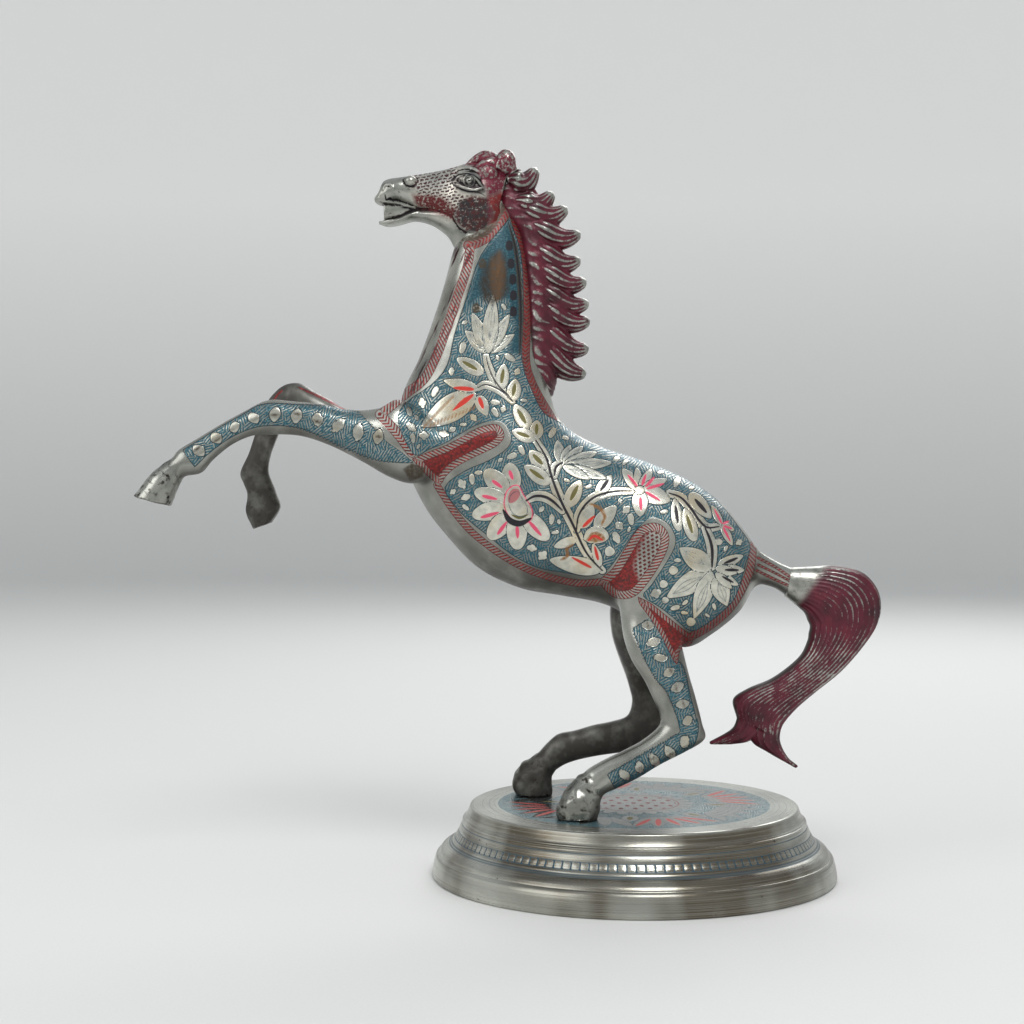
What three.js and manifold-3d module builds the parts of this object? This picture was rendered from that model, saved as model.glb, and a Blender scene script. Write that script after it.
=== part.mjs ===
// Rearing horse ornament on a turned round plinth, brazed up from hollow and solid metal castings.
// Millimetres, +Z up. The horse faces -X, and its left side faces -Y.
import * as THREE from 'three';
import { mergeVertices } from 'three/addons/utils/BufferGeometryUtils.js';
import Module from 'manifold-3d';

const wasm = await Module();
wasm.setup();

// Plinth, turned in four tiers from the table up
const FOOT_RADIUS = 84.3;
const FOOT_HEIGHT = 9.5;
const FOOT_RING_WIDTH = 7;
const BEAD_RADIUS = 81.3;
const BEAD_HEIGHT = 5;
const BAND_RADIUS = 76.6;
const BAND_HEIGHT = 9.5;
const SHOULDER_RADIUS = 71.8;
const SHOULDER_HEIGHT = 5.6;
const TOP_RADIUS = 67.8;
const PLINTH_WALL = 3;
const PLINTH_TOP_WALL = 3;
const EDGE_ROUND = 0.8;
const PLINTH_HEIGHT = FOOT_HEIGHT + BEAD_HEIGHT + BAND_HEIGHT + SHOULDER_HEIGHT;

// Fits: the gap left at each brazed or screwed joint, and the wall of the hollow torso
const JOINT_GAP = 0.3;
const TORSO_WALL = 3;
const HORSE_SIDEWAYS = -7;
// A block larger than the whole statue, which parts the torso in two
const CUTTER_SIZE = 600;

// Screws that hold the hind hooves from below
const SCREW_RADIUS = 2;
const SCREW_GRIP = 7;
const SCREW_HEAD_RADIUS = 4.2;
const SCREW_HEAD_HEIGHT = 2.8;
const SLOT_WIDTH = 1.2;
const SLOT_DEPTH = 1.3;
const WASHER_RADIUS = 6.5;
const WASHER_THICKNESS = 1;

// Pegs on the castings that enter sockets in the torso
const LEG_PEG_RADIUS = 5;
const HEAD_PEG_RADIUS = 5;
const TAIL_PEG_RADIUS = 2.6;

// Ribs of the castings. Each rib is [x, z] on one outline, [x, z] on the outline opposite,
// half-width, sideways place and narrowing towards the first outline.
const TORSO_RIBS = [
  [66, 98.5, 64.5, 86.5, 5.5],
  [58.5, 102, 57, 91, 5.8],
  [51, 107, 50, 91, 8],
  [46, 113.8, 43, 80.5, 16],
  [37, 124.8, 32, 71.5, 23],
  [26, 133.5, 21.5, 66, 26],
  [14, 139.5, 8.5, 69, 26.5],
  [2.5, 144, -4, 79.5, 26],
  [-10, 148, -15, 84.5, 25.5],
  [-20.5, 152.5, -31, 87.5, 26],
  [-27.5, 157, -47.5, 90.5, 26.5],
  [-32.5, 163, -64.5, 98.5, 26.5],
  [-34.5, 169, -77.5, 111.5, 25.5],
  [-35.5, 175.5, -88.5, 126.5, 23.5],
  [-37, 183.5, -97, 148, 21],
  [-38, 192, -97, 169, 18.5],
  [-39.5, 202.5, -89.5, 186.5, 16],
  [-41, 215, -83.5, 203, 14],
  [-43, 226.5, -79, 217.5, 12.5],
  [-46, 237.5, -76, 229, 11.5],
  [-50, 248, -73.5, 236.5, 10.5],
];
// The hollow runs from the hips to the upper neck, between these ribs of the torso
const HOLLOW_FIRST_RIB = 4;
const HOLLOW_LAST_RIB = 18;

const HEAD_RIBS = [
  [-52.5, 263, -59, 238, 8.5],
  [-57.5, 266, -65, 237, 10.5],
  [-63, 267, -71.5, 238, 11.2],
  [-69.5, 267, -77, 242.5, 10.6],
  [-75, 265.5, -81, 244.5, 9.2],
  [-81, 264, -86, 246.5, 8],
  [-89.5, 262.5, -91.5, 248, 7],
  [-97.5, 261.5, -98.5, 251, 7],
  [-102.5, 260.5, -103.5, 250, 6.3],
  [-108, 254, -108, 251.5, 3],
];
const JAW_RIBS = [
  [-72, 250, -75.5, 234.5, 6.5],
  [-79, 249, -81, 239.2, 6.3],
  [-85, 248, -85.5, 241.8, 6],
  [-91.5, 247.5, -91.5, 243, 5.6],
  [-97.5, 244.8, -97.5, 241.5, 5.2],
  [-102.5, 243.5, -102.5, 240.8, 4.6],
  [-106.5, 243, -106.2, 241.8, 2.2],
];
// The recessed wall that closes the open mouth between the lips
const MOUTH_RIBS = [
  [-88, 256, -88, 244, 3],
  [-98, 254, -98, 243, 3],
  [-104.3, 252, -104.3, 243, 2.4],
];
// Rounded features of the head: x, sideways, z, then their reach along x, sideways and along z
const CHEEK = [-66.5, 7.5, 246, 8.3, 5, 8.3];
const EYE = [-68.5, 9.4, 259.8, 5.6, 2.6, 3];
const NOSTRIL = [-93, 6, 259, 2.6, 2.2, 2.2];
const EAR = [-53.6, 5.6, 267, 4.2, 3.6, 5.2];
const FORELOCK = [-61.5, 0, 268, 4.4, 6.5, 4.4];

const MANE_RIBS = [
  [-49, 264, -57, 253, 5, 0, 0.3],
  [-43.5, 258.5, -56, 246, 6.5, 0, 0.4],
  [-36, 250, -49, 238, 7.5, 0, 0.5],
  [-31, 241, -47.5, 229, 8, 0, 0.5],
  [-30, 230, -46.5, 219, 8.5, 0, 0.5],
  [-29.5, 221, -46, 210, 9, 0, 0.5],
  [-28.5, 212, -46, 201, 9.5, 0, 0.5],
  [-28, 203, -46, 192, 10, 0, 0.5],
  [-29, 194, -45.5, 184, 10.5, 0, 0.5],
  [-31, 185, -43.5, 177, 9.5, 0, 0.4],
  [-32.5, 176, -39, 171, 6.5, 0, 0.3],
  [-34, 170.5, -36, 168.5, 2.5],
];
const LOCK_TIPS = [
  [-41, 265.5],
  [-34, 255.5],
  [-28, 249],
  [-22.5, 238.5],
  [-22.5, 227.5],
  [-20, 218.5],
  [-19, 209.5],
  [-18.5, 202],
  [-19, 190.5],
  [-20, 180],
];
// Where each lock parts from the next, from behind the ears down to the withers
const LOCK_PARTINGS = [
  [-49.5, 264.5],
  [-43, 259.5],
  [-35.5, 251],
  [-29, 243.5],
  [-28.5, 231],
  [-29, 222.5],
  [-26, 213.5],
  [-22, 205],
  [-27, 195.5],
  [-28.5, 187],
  [-32.5, 175.5],
];
const LOCK_HALF_WIDTH = 4;
const LOCK_ROOT = 6;
const LOCK_TIP_RADIUS = 0.5;

const LEFT_FORELEG_RIBS = [
  [-84, 166, -82, 137, 9, -13],
  [-96.5, 168.3, -91, 134, 10.5, -14.5],
  [-105.5, 164.8, -100.5, 136.5, 10, -16],
  [-117, 164, -112, 143, 8.8, -17],
  [-129, 166.5, -125, 149.5, 7.4, -17],
  [-139.5, 167.5, -137.5, 153.5, 6.4, -17],
  [-150.5, 168, -150.5, 154, 6.2, -17],
  [-160, 163.5, -157, 153.5, 5, -17],
  [-170, 158, -165, 150, 4.3, -17],
  [-179, 152.5, -172.5, 144, 4.3, -17],
  [-186.5, 148, -177.5, 138.5, 4.8, -17],
  [-189.5, 144.5, -184, 137, 4.4, -17],
  [-193, 142, -186, 134.5, 5, -17],
  [-198.5, 137.5, -188.5, 128.5, 6.4, -17],
  [-205, 129, -190, 125, 7, -17],
];
const RIGHT_FORELEG_RIBS = [
  [-84, 163.5, -83, 137, 9, 13],
  [-95, 163.5, -93, 134.5, 10.5, 14.5],
  [-107, 164.5, -103, 137, 10, 16],
  [-121, 165.5, -113.5, 144, 8.4, 17],
  [-128.5, 169.5, -124, 152.5, 7.4, 17],
  [-135, 173, -132.5, 157.5, 6.6, 17],
  [-141.5, 176.5, -141, 161, 6.2, 17],
  [-149, 175, -145.5, 160, 6, 17],
  [-156, 167, -148.5, 159, 5.4, 17],
  [-160.5, 154, -150.5, 154, 4.6, 17],
  [-163, 146.5, -153.5, 146, 4.3, 17],
  [-166.5, 138.5, -154.5, 139.5, 4.8, 17],
  [-165, 133.5, -153, 134.5, 4.6, 17],
  [-163.5, 129, -151, 129, 5.2, 17],
  [-164, 121.5, -149.5, 123.5, 6.2, 17],
  [-161, 114.5, -153, 117.5, 6.2, 17],
];
const LEFT_HIND_RIBS = [
  [-7, 92, 17, 79, 9, -13],
  [-7, 82, 18, 69.5, 10.5, -15.5],
  [-5.5, 71, 19.5, 62, 10.5, -18],
  [-2.5, 62.5, 21, 55.5, 9.6, -20.5],
  [2.5, 54.5, 22.5, 50, 8.2, -23],
  [6, 47, 24, 44, 7, -25],
  [8.5, 41, 25.5, 37.5, 6.4, -26],
  [8, 36.5, 26.5, 31.5, 6.2, -26.5],
  [1.5, 31, 19, 26.5, 5.6, -27],
  [-6, 27, 9, 21.5, 5, -27.5],
  [-13.5, 23.5, 0.5, 16.5, 4.8, -28],
  [-20.5, 19.5, -8.5, 12, 5, -28],
  [-26, 15, -14, 9.5, 5.2, -28.5],
  [-30, 10.5, -15.5, 6.5, 6.4, -29],
  [-33, 4.5, -16, 3.5, 7.4, -29],
  [-33, 0, -17, 0, 7.6, -29],
];
const RIGHT_HIND_RIBS = [
  [-9, 90, 9, 80, 9, 13],
  [-9.5, 80, 10, 70, 10.5, 16],
  [-8.5, 69.5, 11.5, 61, 10.5, 19],
  [-5.5, 60, 13, 53.5, 9.6, 21.5],
  [-2.5, 52, 15, 46.5, 8.2, 23.5],
  [-0.5, 45.5, 16.5, 41, 7, 25],
  [0.5, 40, 18, 34, 6.4, 25.5],
  [-1.5, 34, 17.5, 26, 6.2, 26],
  [-8, 31.5, 5, 20, 5.6, 26.5],
  [-15.5, 30, -5.5, 18, 5, 26.5],
  [-24, 27.5, -15, 16.5, 4.8, 27],
  [-31, 26, -24, 14.5, 5, 27],
  [-36, 22, -30, 12, 5.2, 27],
  [-41, 16.5, -33.5, 8.5, 5.6, 28],
  [-47, 12.5, -34, 5, 6.8, 28],
  [-50.5, 5.5, -34, 3, 7.4, 28],
  [-49.5, 0, -34, 0, 7.6, 28],
];

const TAIL_RIBS = [
  [64, 99, 62.5, 87, 5.5],
  [75, 99.5, 69, 81.8, 6.5],
  [83.5, 100, 71, 79.6, 7.2],
  [94, 97.5, 72, 77, 7.5],
  [100.5, 91, 73, 74.5, 7.5],
  [102.5, 83, 72.5, 71.5, 7.5],
  [100.5, 74.5, 72, 68.5, 7.5],
  [94.5, 65.5, 69.5, 63, 7.4],
  [85.5, 55.5, 64.5, 58, 7.2],
  [75, 47, 56.5, 52.5, 7],
  [67.5, 40.5, 47, 48.5, 6.6],
  [62, 34, 41, 44, 6],
  [60, 28.5, 42.5, 36.5, 5],
];
const TAIL_FRONT_TIP_RIBS = [
  [55, 36, 43.5, 42, 5],
  [49, 27.5, 42.5, 36, 4.4],
  [41, 25.5, 40, 31.5, 3.4],
  [31.5, 25.4, 31, 26.4, 0.8],
];
const TAIL_BACK_TIP_RIBS = [
  [62, 36, 48, 36, 5],
  [60.5, 27.5, 48.5, 27, 4.4],
  [63.5, 20.5, 55.5, 22, 3.4],
  [68, 16.5, 67, 15.5, 0.8],
];

// Pegs from inside each casting to inside the torso: x, sideways, z at both ends
const LEFT_FORELEG_PEG = [[-104, -15.5, 150.5], [-76, -12.5, 150]];
const RIGHT_FORELEG_PEG = [[-106, 15.5, 150.5], [-76, 12.5, 150]];
const LEFT_HIND_PEG = [[8, -19.5, 62], [6, -13.5, 90]];
const RIGHT_HIND_PEG = [[4, 19.5, 60], [1, 13.5, 90]];
const HEAD_PEG = [[-64, 0, 252], [-61, 0, 226]];
const TAIL_PEG = [[76, 0, 90.5], [55, 0, 98.2]];

// Turns a closed geometry into a solid that can be joined and cut
function solid(geometry) {
  geometry.deleteAttribute('normal');
  geometry.deleteAttribute('uv');
  const merged = mergeVertices(geometry, 1e-4);
  const vertProperties = new Float32Array(merged.attributes.position.array);
  const triVerts = new Uint32Array(merged.index.array);
  return new wasm.Manifold(new wasm.Mesh({ numProp: 3, vertProperties, triVerts }));
}

// A closed skin over a row of ribs, each ring an oval between two outline points
function ribLoft(ribs, { grow = 0, around = 16, steps = 2, fullness = 1 } = {}) {
  const spline = (points) => new THREE.CatmullRomCurve3(points, false, 'catmullrom', 0.5);
  const firsts = spline(ribs.map(([x, z]) => new THREE.Vector3(x, 0, z)));
  const seconds = spline(ribs.map(([, , x, z]) => new THREE.Vector3(x, 0, z)));
  const swells = spline(ribs.map(([, , , , half, side = 0, narrow = 0]) => new THREE.Vector3(half, side, narrow)));
  const last = (ribs.length - 1) * steps;
  const rings = [];
  for (let ring = 0; ring <= last; ring += 1) {
    const first = firsts.getPoint(ring / last);
    const second = seconds.getPoint(ring / last);
    const swell = swells.getPoint(ring / last);
    const centre = first.clone().add(second).multiplyScalar(0.5);
    rings.push({ centre, reach: first.sub(centre), half: swell.x, side: swell.y, narrow: swell.z });
  }
  const forward = rings[1].centre.clone().sub(rings[0].centre).normalize();
  const onward = rings[last].centre.clone().sub(rings[last - 1].centre).normalize();
  rings[0].centre.addScaledVector(forward, -grow);
  rings[last].centre.addScaledVector(onward, grow);

  const curl = (value) => Math.sign(value) * Math.abs(value) ** fullness;
  const positions = [];
  for (const { centre, reach, half, side, narrow } of rings) {
    const length = reach.length() + grow;
    const axis = reach.clone().normalize();
    for (let k = 0; k < around; k += 1) {
      const angle = (2 * Math.PI * k) / around;
      const along = curl(Math.cos(angle));
      const across = curl(Math.sin(angle)) * (half + grow) * (1 - narrow * along);
      const point = centre.clone().addScaledVector(axis, along * length);
      positions.push(point.x, side + across, point.z);
    }
  }
  for (const ring of [0, last]) {
    positions.push(rings[ring].centre.x, rings[ring].side, rings[ring].centre.z);
  }

  const faces = [];
  const startCap = around * (last + 1);
  for (let k = 0; k < around; k += 1) {
    const next = (k + 1) % around;
    faces.push([startCap, next, k]);
    faces.push([startCap + 1, last * around + k, last * around + next]);
    for (let ring = 0; ring < last; ring += 1) {
      const near = ring * around;
      const far = near + around;
      faces.push([near + k, near + next, far + next], [near + k, far + next, far + k]);
    }
  }
  const turnsOut = new THREE.Vector3().crossVectors(rings[0].reach, new THREE.Vector3(0, 1, 0)).dot(forward) > 0;
  const geometry = new THREE.BufferGeometry();
  geometry.setAttribute('position', new THREE.Float32BufferAttribute(positions, 3));
  geometry.setIndex(faces.flatMap(([a, b, c]) => (turnsOut ? [a, b, c] : [a, c, b])));
  return solid(geometry);
}

function ball([x, side, z, reachX, reachSide, reachZ], grow = 0) {
  const geometry = new THREE.SphereGeometry(1, 10, 7);
  geometry.scale(reachX + grow, reachSide + grow, reachZ + grow);
  geometry.translate(x, side, z);
  return solid(geometry);
}

// The same rounded feature on the left and on the right
function pair([x, side, ...rest], grow = 0) {
  return ball([x, -side, ...rest], grow).add(ball([x, side, ...rest], grow));
}

// A round peg between two points, or its socket when it is grown by the joint gap
function peg([from, to], radius, grow = 0) {
  const start = new THREE.Vector3(...from);
  const end = new THREE.Vector3(...to);
  const direction = end.clone().sub(start).normalize();
  start.addScaledVector(direction, -grow);
  end.addScaledVector(direction, grow);
  const geometry = new THREE.CylinderGeometry(radius + grow, radius + grow, start.distanceTo(end), 16);
  geometry.applyQuaternion(new THREE.Quaternion().setFromUnitVectors(new THREE.Vector3(0, 1, 0), direction));
  const middle = start.add(end).multiplyScalar(0.5);
  geometry.translate(middle.x, middle.y, middle.z);
  return solid(geometry);
}

// A turned solid from [radius, height] points that start and end on the axis or close on themselves
function turned(profile, segments) {
  const points = profile.map(([radius, height]) => new THREE.Vector2(radius, height));
  const geometry = new THREE.LatheGeometry(points, segments);
  geometry.rotateX(Math.PI / 2);
  return solid(geometry);
}

function box(width, depth, height, x, y, z) {
  const geometry = new THREE.BoxGeometry(width, depth, height);
  geometry.translate(x, y, z);
  return solid(geometry);
}

function piece(name, shape, colour, roughness, metalness) {
  const mesh = shape.getMesh();
  const geometry = new THREE.BufferGeometry();
  geometry.setAttribute('position', new THREE.BufferAttribute(mesh.vertProperties, 3));
  geometry.setIndex(new THREE.BufferAttribute(mesh.triVerts, 1));
  geometry.computeVertexNormals();
  const part = new THREE.Mesh(geometry, new THREE.MeshStandardMaterial({ color: colour, roughness, metalness }));
  part.name = name;
  return part;
}

const SILVER = '#b9b9af';
const TEAL_SILVER = '#8f9b9c';
const DARK_SILVER = '#77767a';
const MAROON = '#6b2235';
const STEEL = '#8a8a88';

// Middle of a standing hoof's sole, where its screw goes in
function soleCentre(ribs) {
  const [frontX, , backX, , , side] = ribs.at(-1);
  return [(frontX + backX) / 2, side];
}

const torsoOptions = { around: 20, steps: 2, fullness: 0.92 };
const torsoForm = ribLoft(TORSO_RIBS, torsoOptions);
const torsoRoom = ribLoft(TORSO_RIBS, { ...torsoOptions, grow: JOINT_GAP });
const hollowRibs = TORSO_RIBS.slice(HOLLOW_FIRST_RIB, HOLLOW_LAST_RIB + 1);
const torsoHollow = ribLoft(hollowRibs, { ...torsoOptions, around: 12, steps: 1, grow: -TORSO_WALL });

const legJoints = [LEFT_FORELEG_PEG, RIGHT_FORELEG_PEG, LEFT_HIND_PEG, RIGHT_HIND_PEG];
let torsoShell = torsoForm.subtract(torsoHollow);
for (const joint of legJoints) {
  torsoShell = torsoShell.subtract(peg(joint, LEG_PEG_RADIUS, JOINT_GAP));
}
torsoShell = torsoShell.subtract(peg(HEAD_PEG, HEAD_PEG_RADIUS, JOINT_GAP));
torsoShell = torsoShell.subtract(peg(TAIL_PEG, TAIL_PEG_RADIUS, JOINT_GAP));

// One half of the torso, parted from the other along the seam down the middle
function torsoHalf(side) {
  const middle = (side * (CUTTER_SIZE + JOINT_GAP)) / 2;
  return torsoShell.intersect(box(CUTTER_SIZE, CUTTER_SIZE, CUTTER_SIZE, 0, middle, CUTTER_SIZE / 2));
}

function headForm(grow) {
  let shape = ribLoft(HEAD_RIBS, { around: 14, steps: 2, fullness: 0.9, grow });
  shape = shape.add(ribLoft(JAW_RIBS, { around: 10, steps: 2, grow }));
  shape = shape.add(ribLoft(MOUTH_RIBS, { around: 8, steps: 1, grow }));
  for (const feature of [CHEEK, EYE, NOSTRIL, EAR]) {
    shape = shape.add(pair(feature, grow));
  }
  return shape.add(ball(FORELOCK, grow));
}

function headShape() {
  return headForm(0).subtract(torsoRoom).add(peg(HEAD_PEG, HEAD_PEG_RADIUS));
}

// One lock of the mane, from its root between two partings out to its tip
function lockShape(tip, upper, lower) {
  const tipPoint = new THREE.Vector2(...tip);
  const root = new THREE.Vector2((upper[0] + lower[0]) / 2, (upper[1] + lower[1]) / 2);
  const outward = tipPoint.clone().sub(root).normalize();
  const across = new THREE.Vector2(-outward.y, outward.x);
  const half = Math.hypot(upper[0] - lower[0], upper[1] - lower[1]) / 2;
  const rib = (place, reach, width) => {
    const high = place.clone().addScaledVector(across, reach);
    const low = place.clone().addScaledVector(across, -reach);
    return [high.x, high.y, low.x, low.y, width];
  };
  return ribLoft([
    rib(root.clone().addScaledVector(outward, -LOCK_ROOT), half, LOCK_HALF_WIDTH),
    rib(root, half, LOCK_HALF_WIDTH),
    rib(root.clone().lerp(tipPoint, 0.55), half * 0.6, LOCK_HALF_WIDTH * 0.7),
    rib(tipPoint, LOCK_TIP_RADIUS, LOCK_TIP_RADIUS),
  ], { around: 6, steps: 2 });
}

function maneShape() {
  let shape = ribLoft(MANE_RIBS, { around: 12, steps: 2 });
  LOCK_TIPS.forEach((tip, i) => {
    shape = shape.add(lockShape(tip, LOCK_PARTINGS[i], LOCK_PARTINGS[i + 1]));
  });
  return shape.subtract(torsoRoom).subtract(headForm(JOINT_GAP));
}

function legShape(ribs, joint) {
  const form = ribLoft(ribs, { around: 12, steps: 2, fullness: 0.92 });
  return form.subtract(torsoRoom).add(peg(joint, LEG_PEG_RADIUS));
}

// A standing leg also has a threaded hole up from the sole
function standingLegShape(ribs, joint) {
  const [x, side] = soleCentre(ribs);
  const hole = peg([[x, side, -SCREW_GRIP], [x, side, SCREW_GRIP]], SCREW_RADIUS, JOINT_GAP);
  return legShape(ribs, joint).subtract(hole);
}

function tailShape() {
  let shape = ribLoft(TAIL_RIBS, { around: 12, steps: 2, fullness: 0.85 });
  shape = shape.add(ribLoft(TAIL_FRONT_TIP_RIBS, { around: 10, steps: 2 }));
  shape = shape.add(ribLoft(TAIL_BACK_TIP_RIBS, { around: 10, steps: 2 }));
  return shape.subtract(torsoRoom).add(peg(TAIL_PEG, TAIL_PEG_RADIUS));
}

// Turned plinth: flat top, steep shoulder, coved band, bead and foot, hollow from below
function plinthShape() {
  const beadTop = FOOT_HEIGHT + BEAD_HEIGHT;
  const bandTop = beadTop + BAND_HEIGHT;
  const ceiling = PLINTH_HEIGHT - PLINTH_TOP_WALL;
  const cove = (share, height) => [
    THREE.MathUtils.lerp(BAND_RADIUS, SHOULDER_RADIUS, share),
    THREE.MathUtils.lerp(beadTop, bandTop, height),
  ];
  const edge = (TOP_RADIUS + SHOULDER_RADIUS) / 2;
  let shape = turned([
    [0, ceiling],
    [TOP_RADIUS - PLINTH_WALL, ceiling],
    [SHOULDER_RADIUS - PLINTH_WALL, bandTop],
    [BAND_RADIUS - PLINTH_WALL, beadTop],
    [FOOT_RADIUS - FOOT_RING_WIDTH, FOOT_HEIGHT],
    [FOOT_RADIUS - FOOT_RING_WIDTH, 0],
    [FOOT_RADIUS - EDGE_ROUND, 0],
    [FOOT_RADIUS, EDGE_ROUND],
    [FOOT_RADIUS - EDGE_ROUND, FOOT_HEIGHT * 0.7],
    [BEAD_RADIUS + EDGE_ROUND, FOOT_HEIGHT],
    [BEAD_RADIUS, FOOT_HEIGHT + EDGE_ROUND],
    [BEAD_RADIUS - EDGE_ROUND, FOOT_HEIGHT + BEAD_HEIGHT * 0.5],
    cove(0, 0),
    cove(0.45, 0.25),
    cove(0.75, 0.55),
    cove(1, 1),
    [edge + EDGE_ROUND, bandTop + EDGE_ROUND],
    [edge, bandTop + SHOULDER_HEIGHT * 0.5],
    [TOP_RADIUS + EDGE_ROUND, PLINTH_HEIGHT - EDGE_ROUND],
    [TOP_RADIUS, PLINTH_HEIGHT],
    [0, PLINTH_HEIGHT],
  ], 48);
  for (const ribs of [LEFT_HIND_RIBS, RIGHT_HIND_RIBS]) {
    const [x, side] = soleCentre(ribs);
    const y = side + HORSE_SIDEWAYS;
    const hole = peg([[x, y, ceiling - 1], [x, y, PLINTH_HEIGHT + 1]], SCREW_RADIUS, JOINT_GAP);
    shape = shape.subtract(hole);
  }
  return shape;
}

// Slotted pan-head screw standing on its head, with the underside of the head at height 0
function screwShape() {
  const shank = 2 * JOINT_GAP + WASHER_THICKNESS + PLINTH_TOP_WALL + SCREW_GRIP;
  const shape = turned([
    [0, -SCREW_HEAD_HEIGHT],
    [SCREW_HEAD_RADIUS * 0.8, -SCREW_HEAD_HEIGHT],
    [SCREW_HEAD_RADIUS, -SCREW_HEAD_HEIGHT * 0.6],
    [SCREW_HEAD_RADIUS, 0],
    [SCREW_RADIUS, 0],
    [SCREW_RADIUS, shank],
    [0, shank],
  ], 16);
  const slot = box(3 * SCREW_HEAD_RADIUS, SLOT_WIDTH, 2 * SLOT_DEPTH, 0, 0, -SCREW_HEAD_HEIGHT);
  return shape.subtract(slot);
}

function washerShape() {
  const inner = SCREW_RADIUS + JOINT_GAP;
  return turned([
    [inner, 0],
    [WASHER_RADIUS, 0],
    [WASHER_RADIUS, WASHER_THICKNESS],
    [inner, WASHER_THICKNESS],
    [inner, 0],
  ], 24);
}

const horse = new THREE.Group();
horse.position.set(0, HORSE_SIDEWAYS, PLINTH_HEIGHT + JOINT_GAP);
horse.add(
  piece('torso_left_shell', torsoHalf(-1), TEAL_SILVER, 0.35, 0.8),
  piece('torso_right_shell', torsoHalf(1), TEAL_SILVER, 0.35, 0.8),
  piece('head', headShape(), SILVER, 0.35, 0.9),
  piece('mane', maneShape(), MAROON, 0.45, 0.3),
  piece('tail_plume', tailShape(), MAROON, 0.45, 0.3),
  piece('left_foreleg', legShape(LEFT_FORELEG_RIBS, LEFT_FORELEG_PEG), SILVER, 0.3, 0.9),
  piece('right_foreleg', legShape(RIGHT_FORELEG_RIBS, RIGHT_FORELEG_PEG), DARK_SILVER, 0.3, 0.9),
  piece('left_hind_leg', standingLegShape(LEFT_HIND_RIBS, LEFT_HIND_PEG), SILVER, 0.3, 0.9),
  piece('right_hind_leg', standingLegShape(RIGHT_HIND_RIBS, RIGHT_HIND_PEG), DARK_SILVER, 0.3, 0.9),
);

// Screw and washer of one hoof, hung below the plinth top
function hoofFixing(name, ribs) {
  const [x, side] = soleCentre(ribs);
  const fixing = new THREE.Group();
  fixing.position.set(x, side + HORSE_SIDEWAYS, PLINTH_HEIGHT - PLINTH_TOP_WALL);
  const washer = piece(`${name}_hoof_washer`, washerShape(), STEEL, 0.4, 1);
  washer.position.z = -JOINT_GAP - WASHER_THICKNESS;
  const screw = piece(`${name}_hoof_screw`, screwShape(), STEEL, 0.35, 1);
  screw.position.z = washer.position.z - JOINT_GAP;
  fixing.add(washer, screw);
  return fixing;
}

const statue = new THREE.Group();
statue.add(
  piece('base_plinth', plinthShape(), SILVER, 0.3, 0.9),
  hoofFixing('left', LEFT_HIND_RIBS),
  hoofFixing('right', RIGHT_HIND_RIBS),
  horse,
);

// The origin lies on the table under the middle of the whole statue
statue.updateMatrixWorld(true);
const middle = new THREE.Box3().setFromObject(statue).getCenter(new THREE.Vector3());
statue.position.set(-middle.x, -middle.y, 0);

export default statue;
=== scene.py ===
import math

import bmesh
import bpy
import numpy as np
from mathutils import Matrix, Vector
from mathutils.bvhtree import BVHTree


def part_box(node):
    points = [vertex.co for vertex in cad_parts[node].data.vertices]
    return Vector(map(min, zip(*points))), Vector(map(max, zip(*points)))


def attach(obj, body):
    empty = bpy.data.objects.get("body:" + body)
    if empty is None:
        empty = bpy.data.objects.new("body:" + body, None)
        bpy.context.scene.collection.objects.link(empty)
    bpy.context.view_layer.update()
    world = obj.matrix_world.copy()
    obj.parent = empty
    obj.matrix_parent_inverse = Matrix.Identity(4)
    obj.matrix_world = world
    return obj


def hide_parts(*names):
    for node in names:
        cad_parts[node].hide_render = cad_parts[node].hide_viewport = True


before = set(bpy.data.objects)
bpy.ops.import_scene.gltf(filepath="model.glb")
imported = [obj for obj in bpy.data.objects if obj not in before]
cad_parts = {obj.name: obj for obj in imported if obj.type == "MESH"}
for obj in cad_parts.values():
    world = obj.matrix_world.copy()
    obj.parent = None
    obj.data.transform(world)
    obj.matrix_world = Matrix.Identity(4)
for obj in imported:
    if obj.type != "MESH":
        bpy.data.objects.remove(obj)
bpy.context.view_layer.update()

# Rearing horse ornament in engraved and enamelled white metal on a turned plinth.
# Forms are worked out in millimetres in the horse's own frame, whose origin is the middle of the
# plinth's top. The horse faces -X, and its left side, towards the camera, faces -Y.
MM = 0.001
JOINT_GAP = 0.3
HORSE_SIDEWAYS = -7.0
PLINTH_LOW, PLINTH_HIGH = (np.array(corner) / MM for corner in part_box("base_plinth"))
PLINTH_AXIS = (PLINTH_LOW + PLINTH_HIGH) / 2
HORSE_ORIGIN = np.array([PLINTH_AXIS[0], PLINTH_AXIS[1] + HORSE_SIDEWAYS, PLINTH_HIGH[2] + JOINT_GAP])
PLINTH_ORIGIN = np.array([PLINTH_AXIS[0], PLINTH_AXIS[1], 0.0])

# The photograph: its camera stands level, this far from the plinth's axis and this high
PHOTO_SIZE = 1024
PHOTO_LEVEL_ROW = 470.2
PHOTO_AXIS_OFFSET = 51.03
CAMERA_DISTANCE = 798.0
CAMERA_HEIGHT = 169.4
PIXEL_AT_AXIS = 0.42
SENSOR_WIDTH = 36.0

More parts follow.
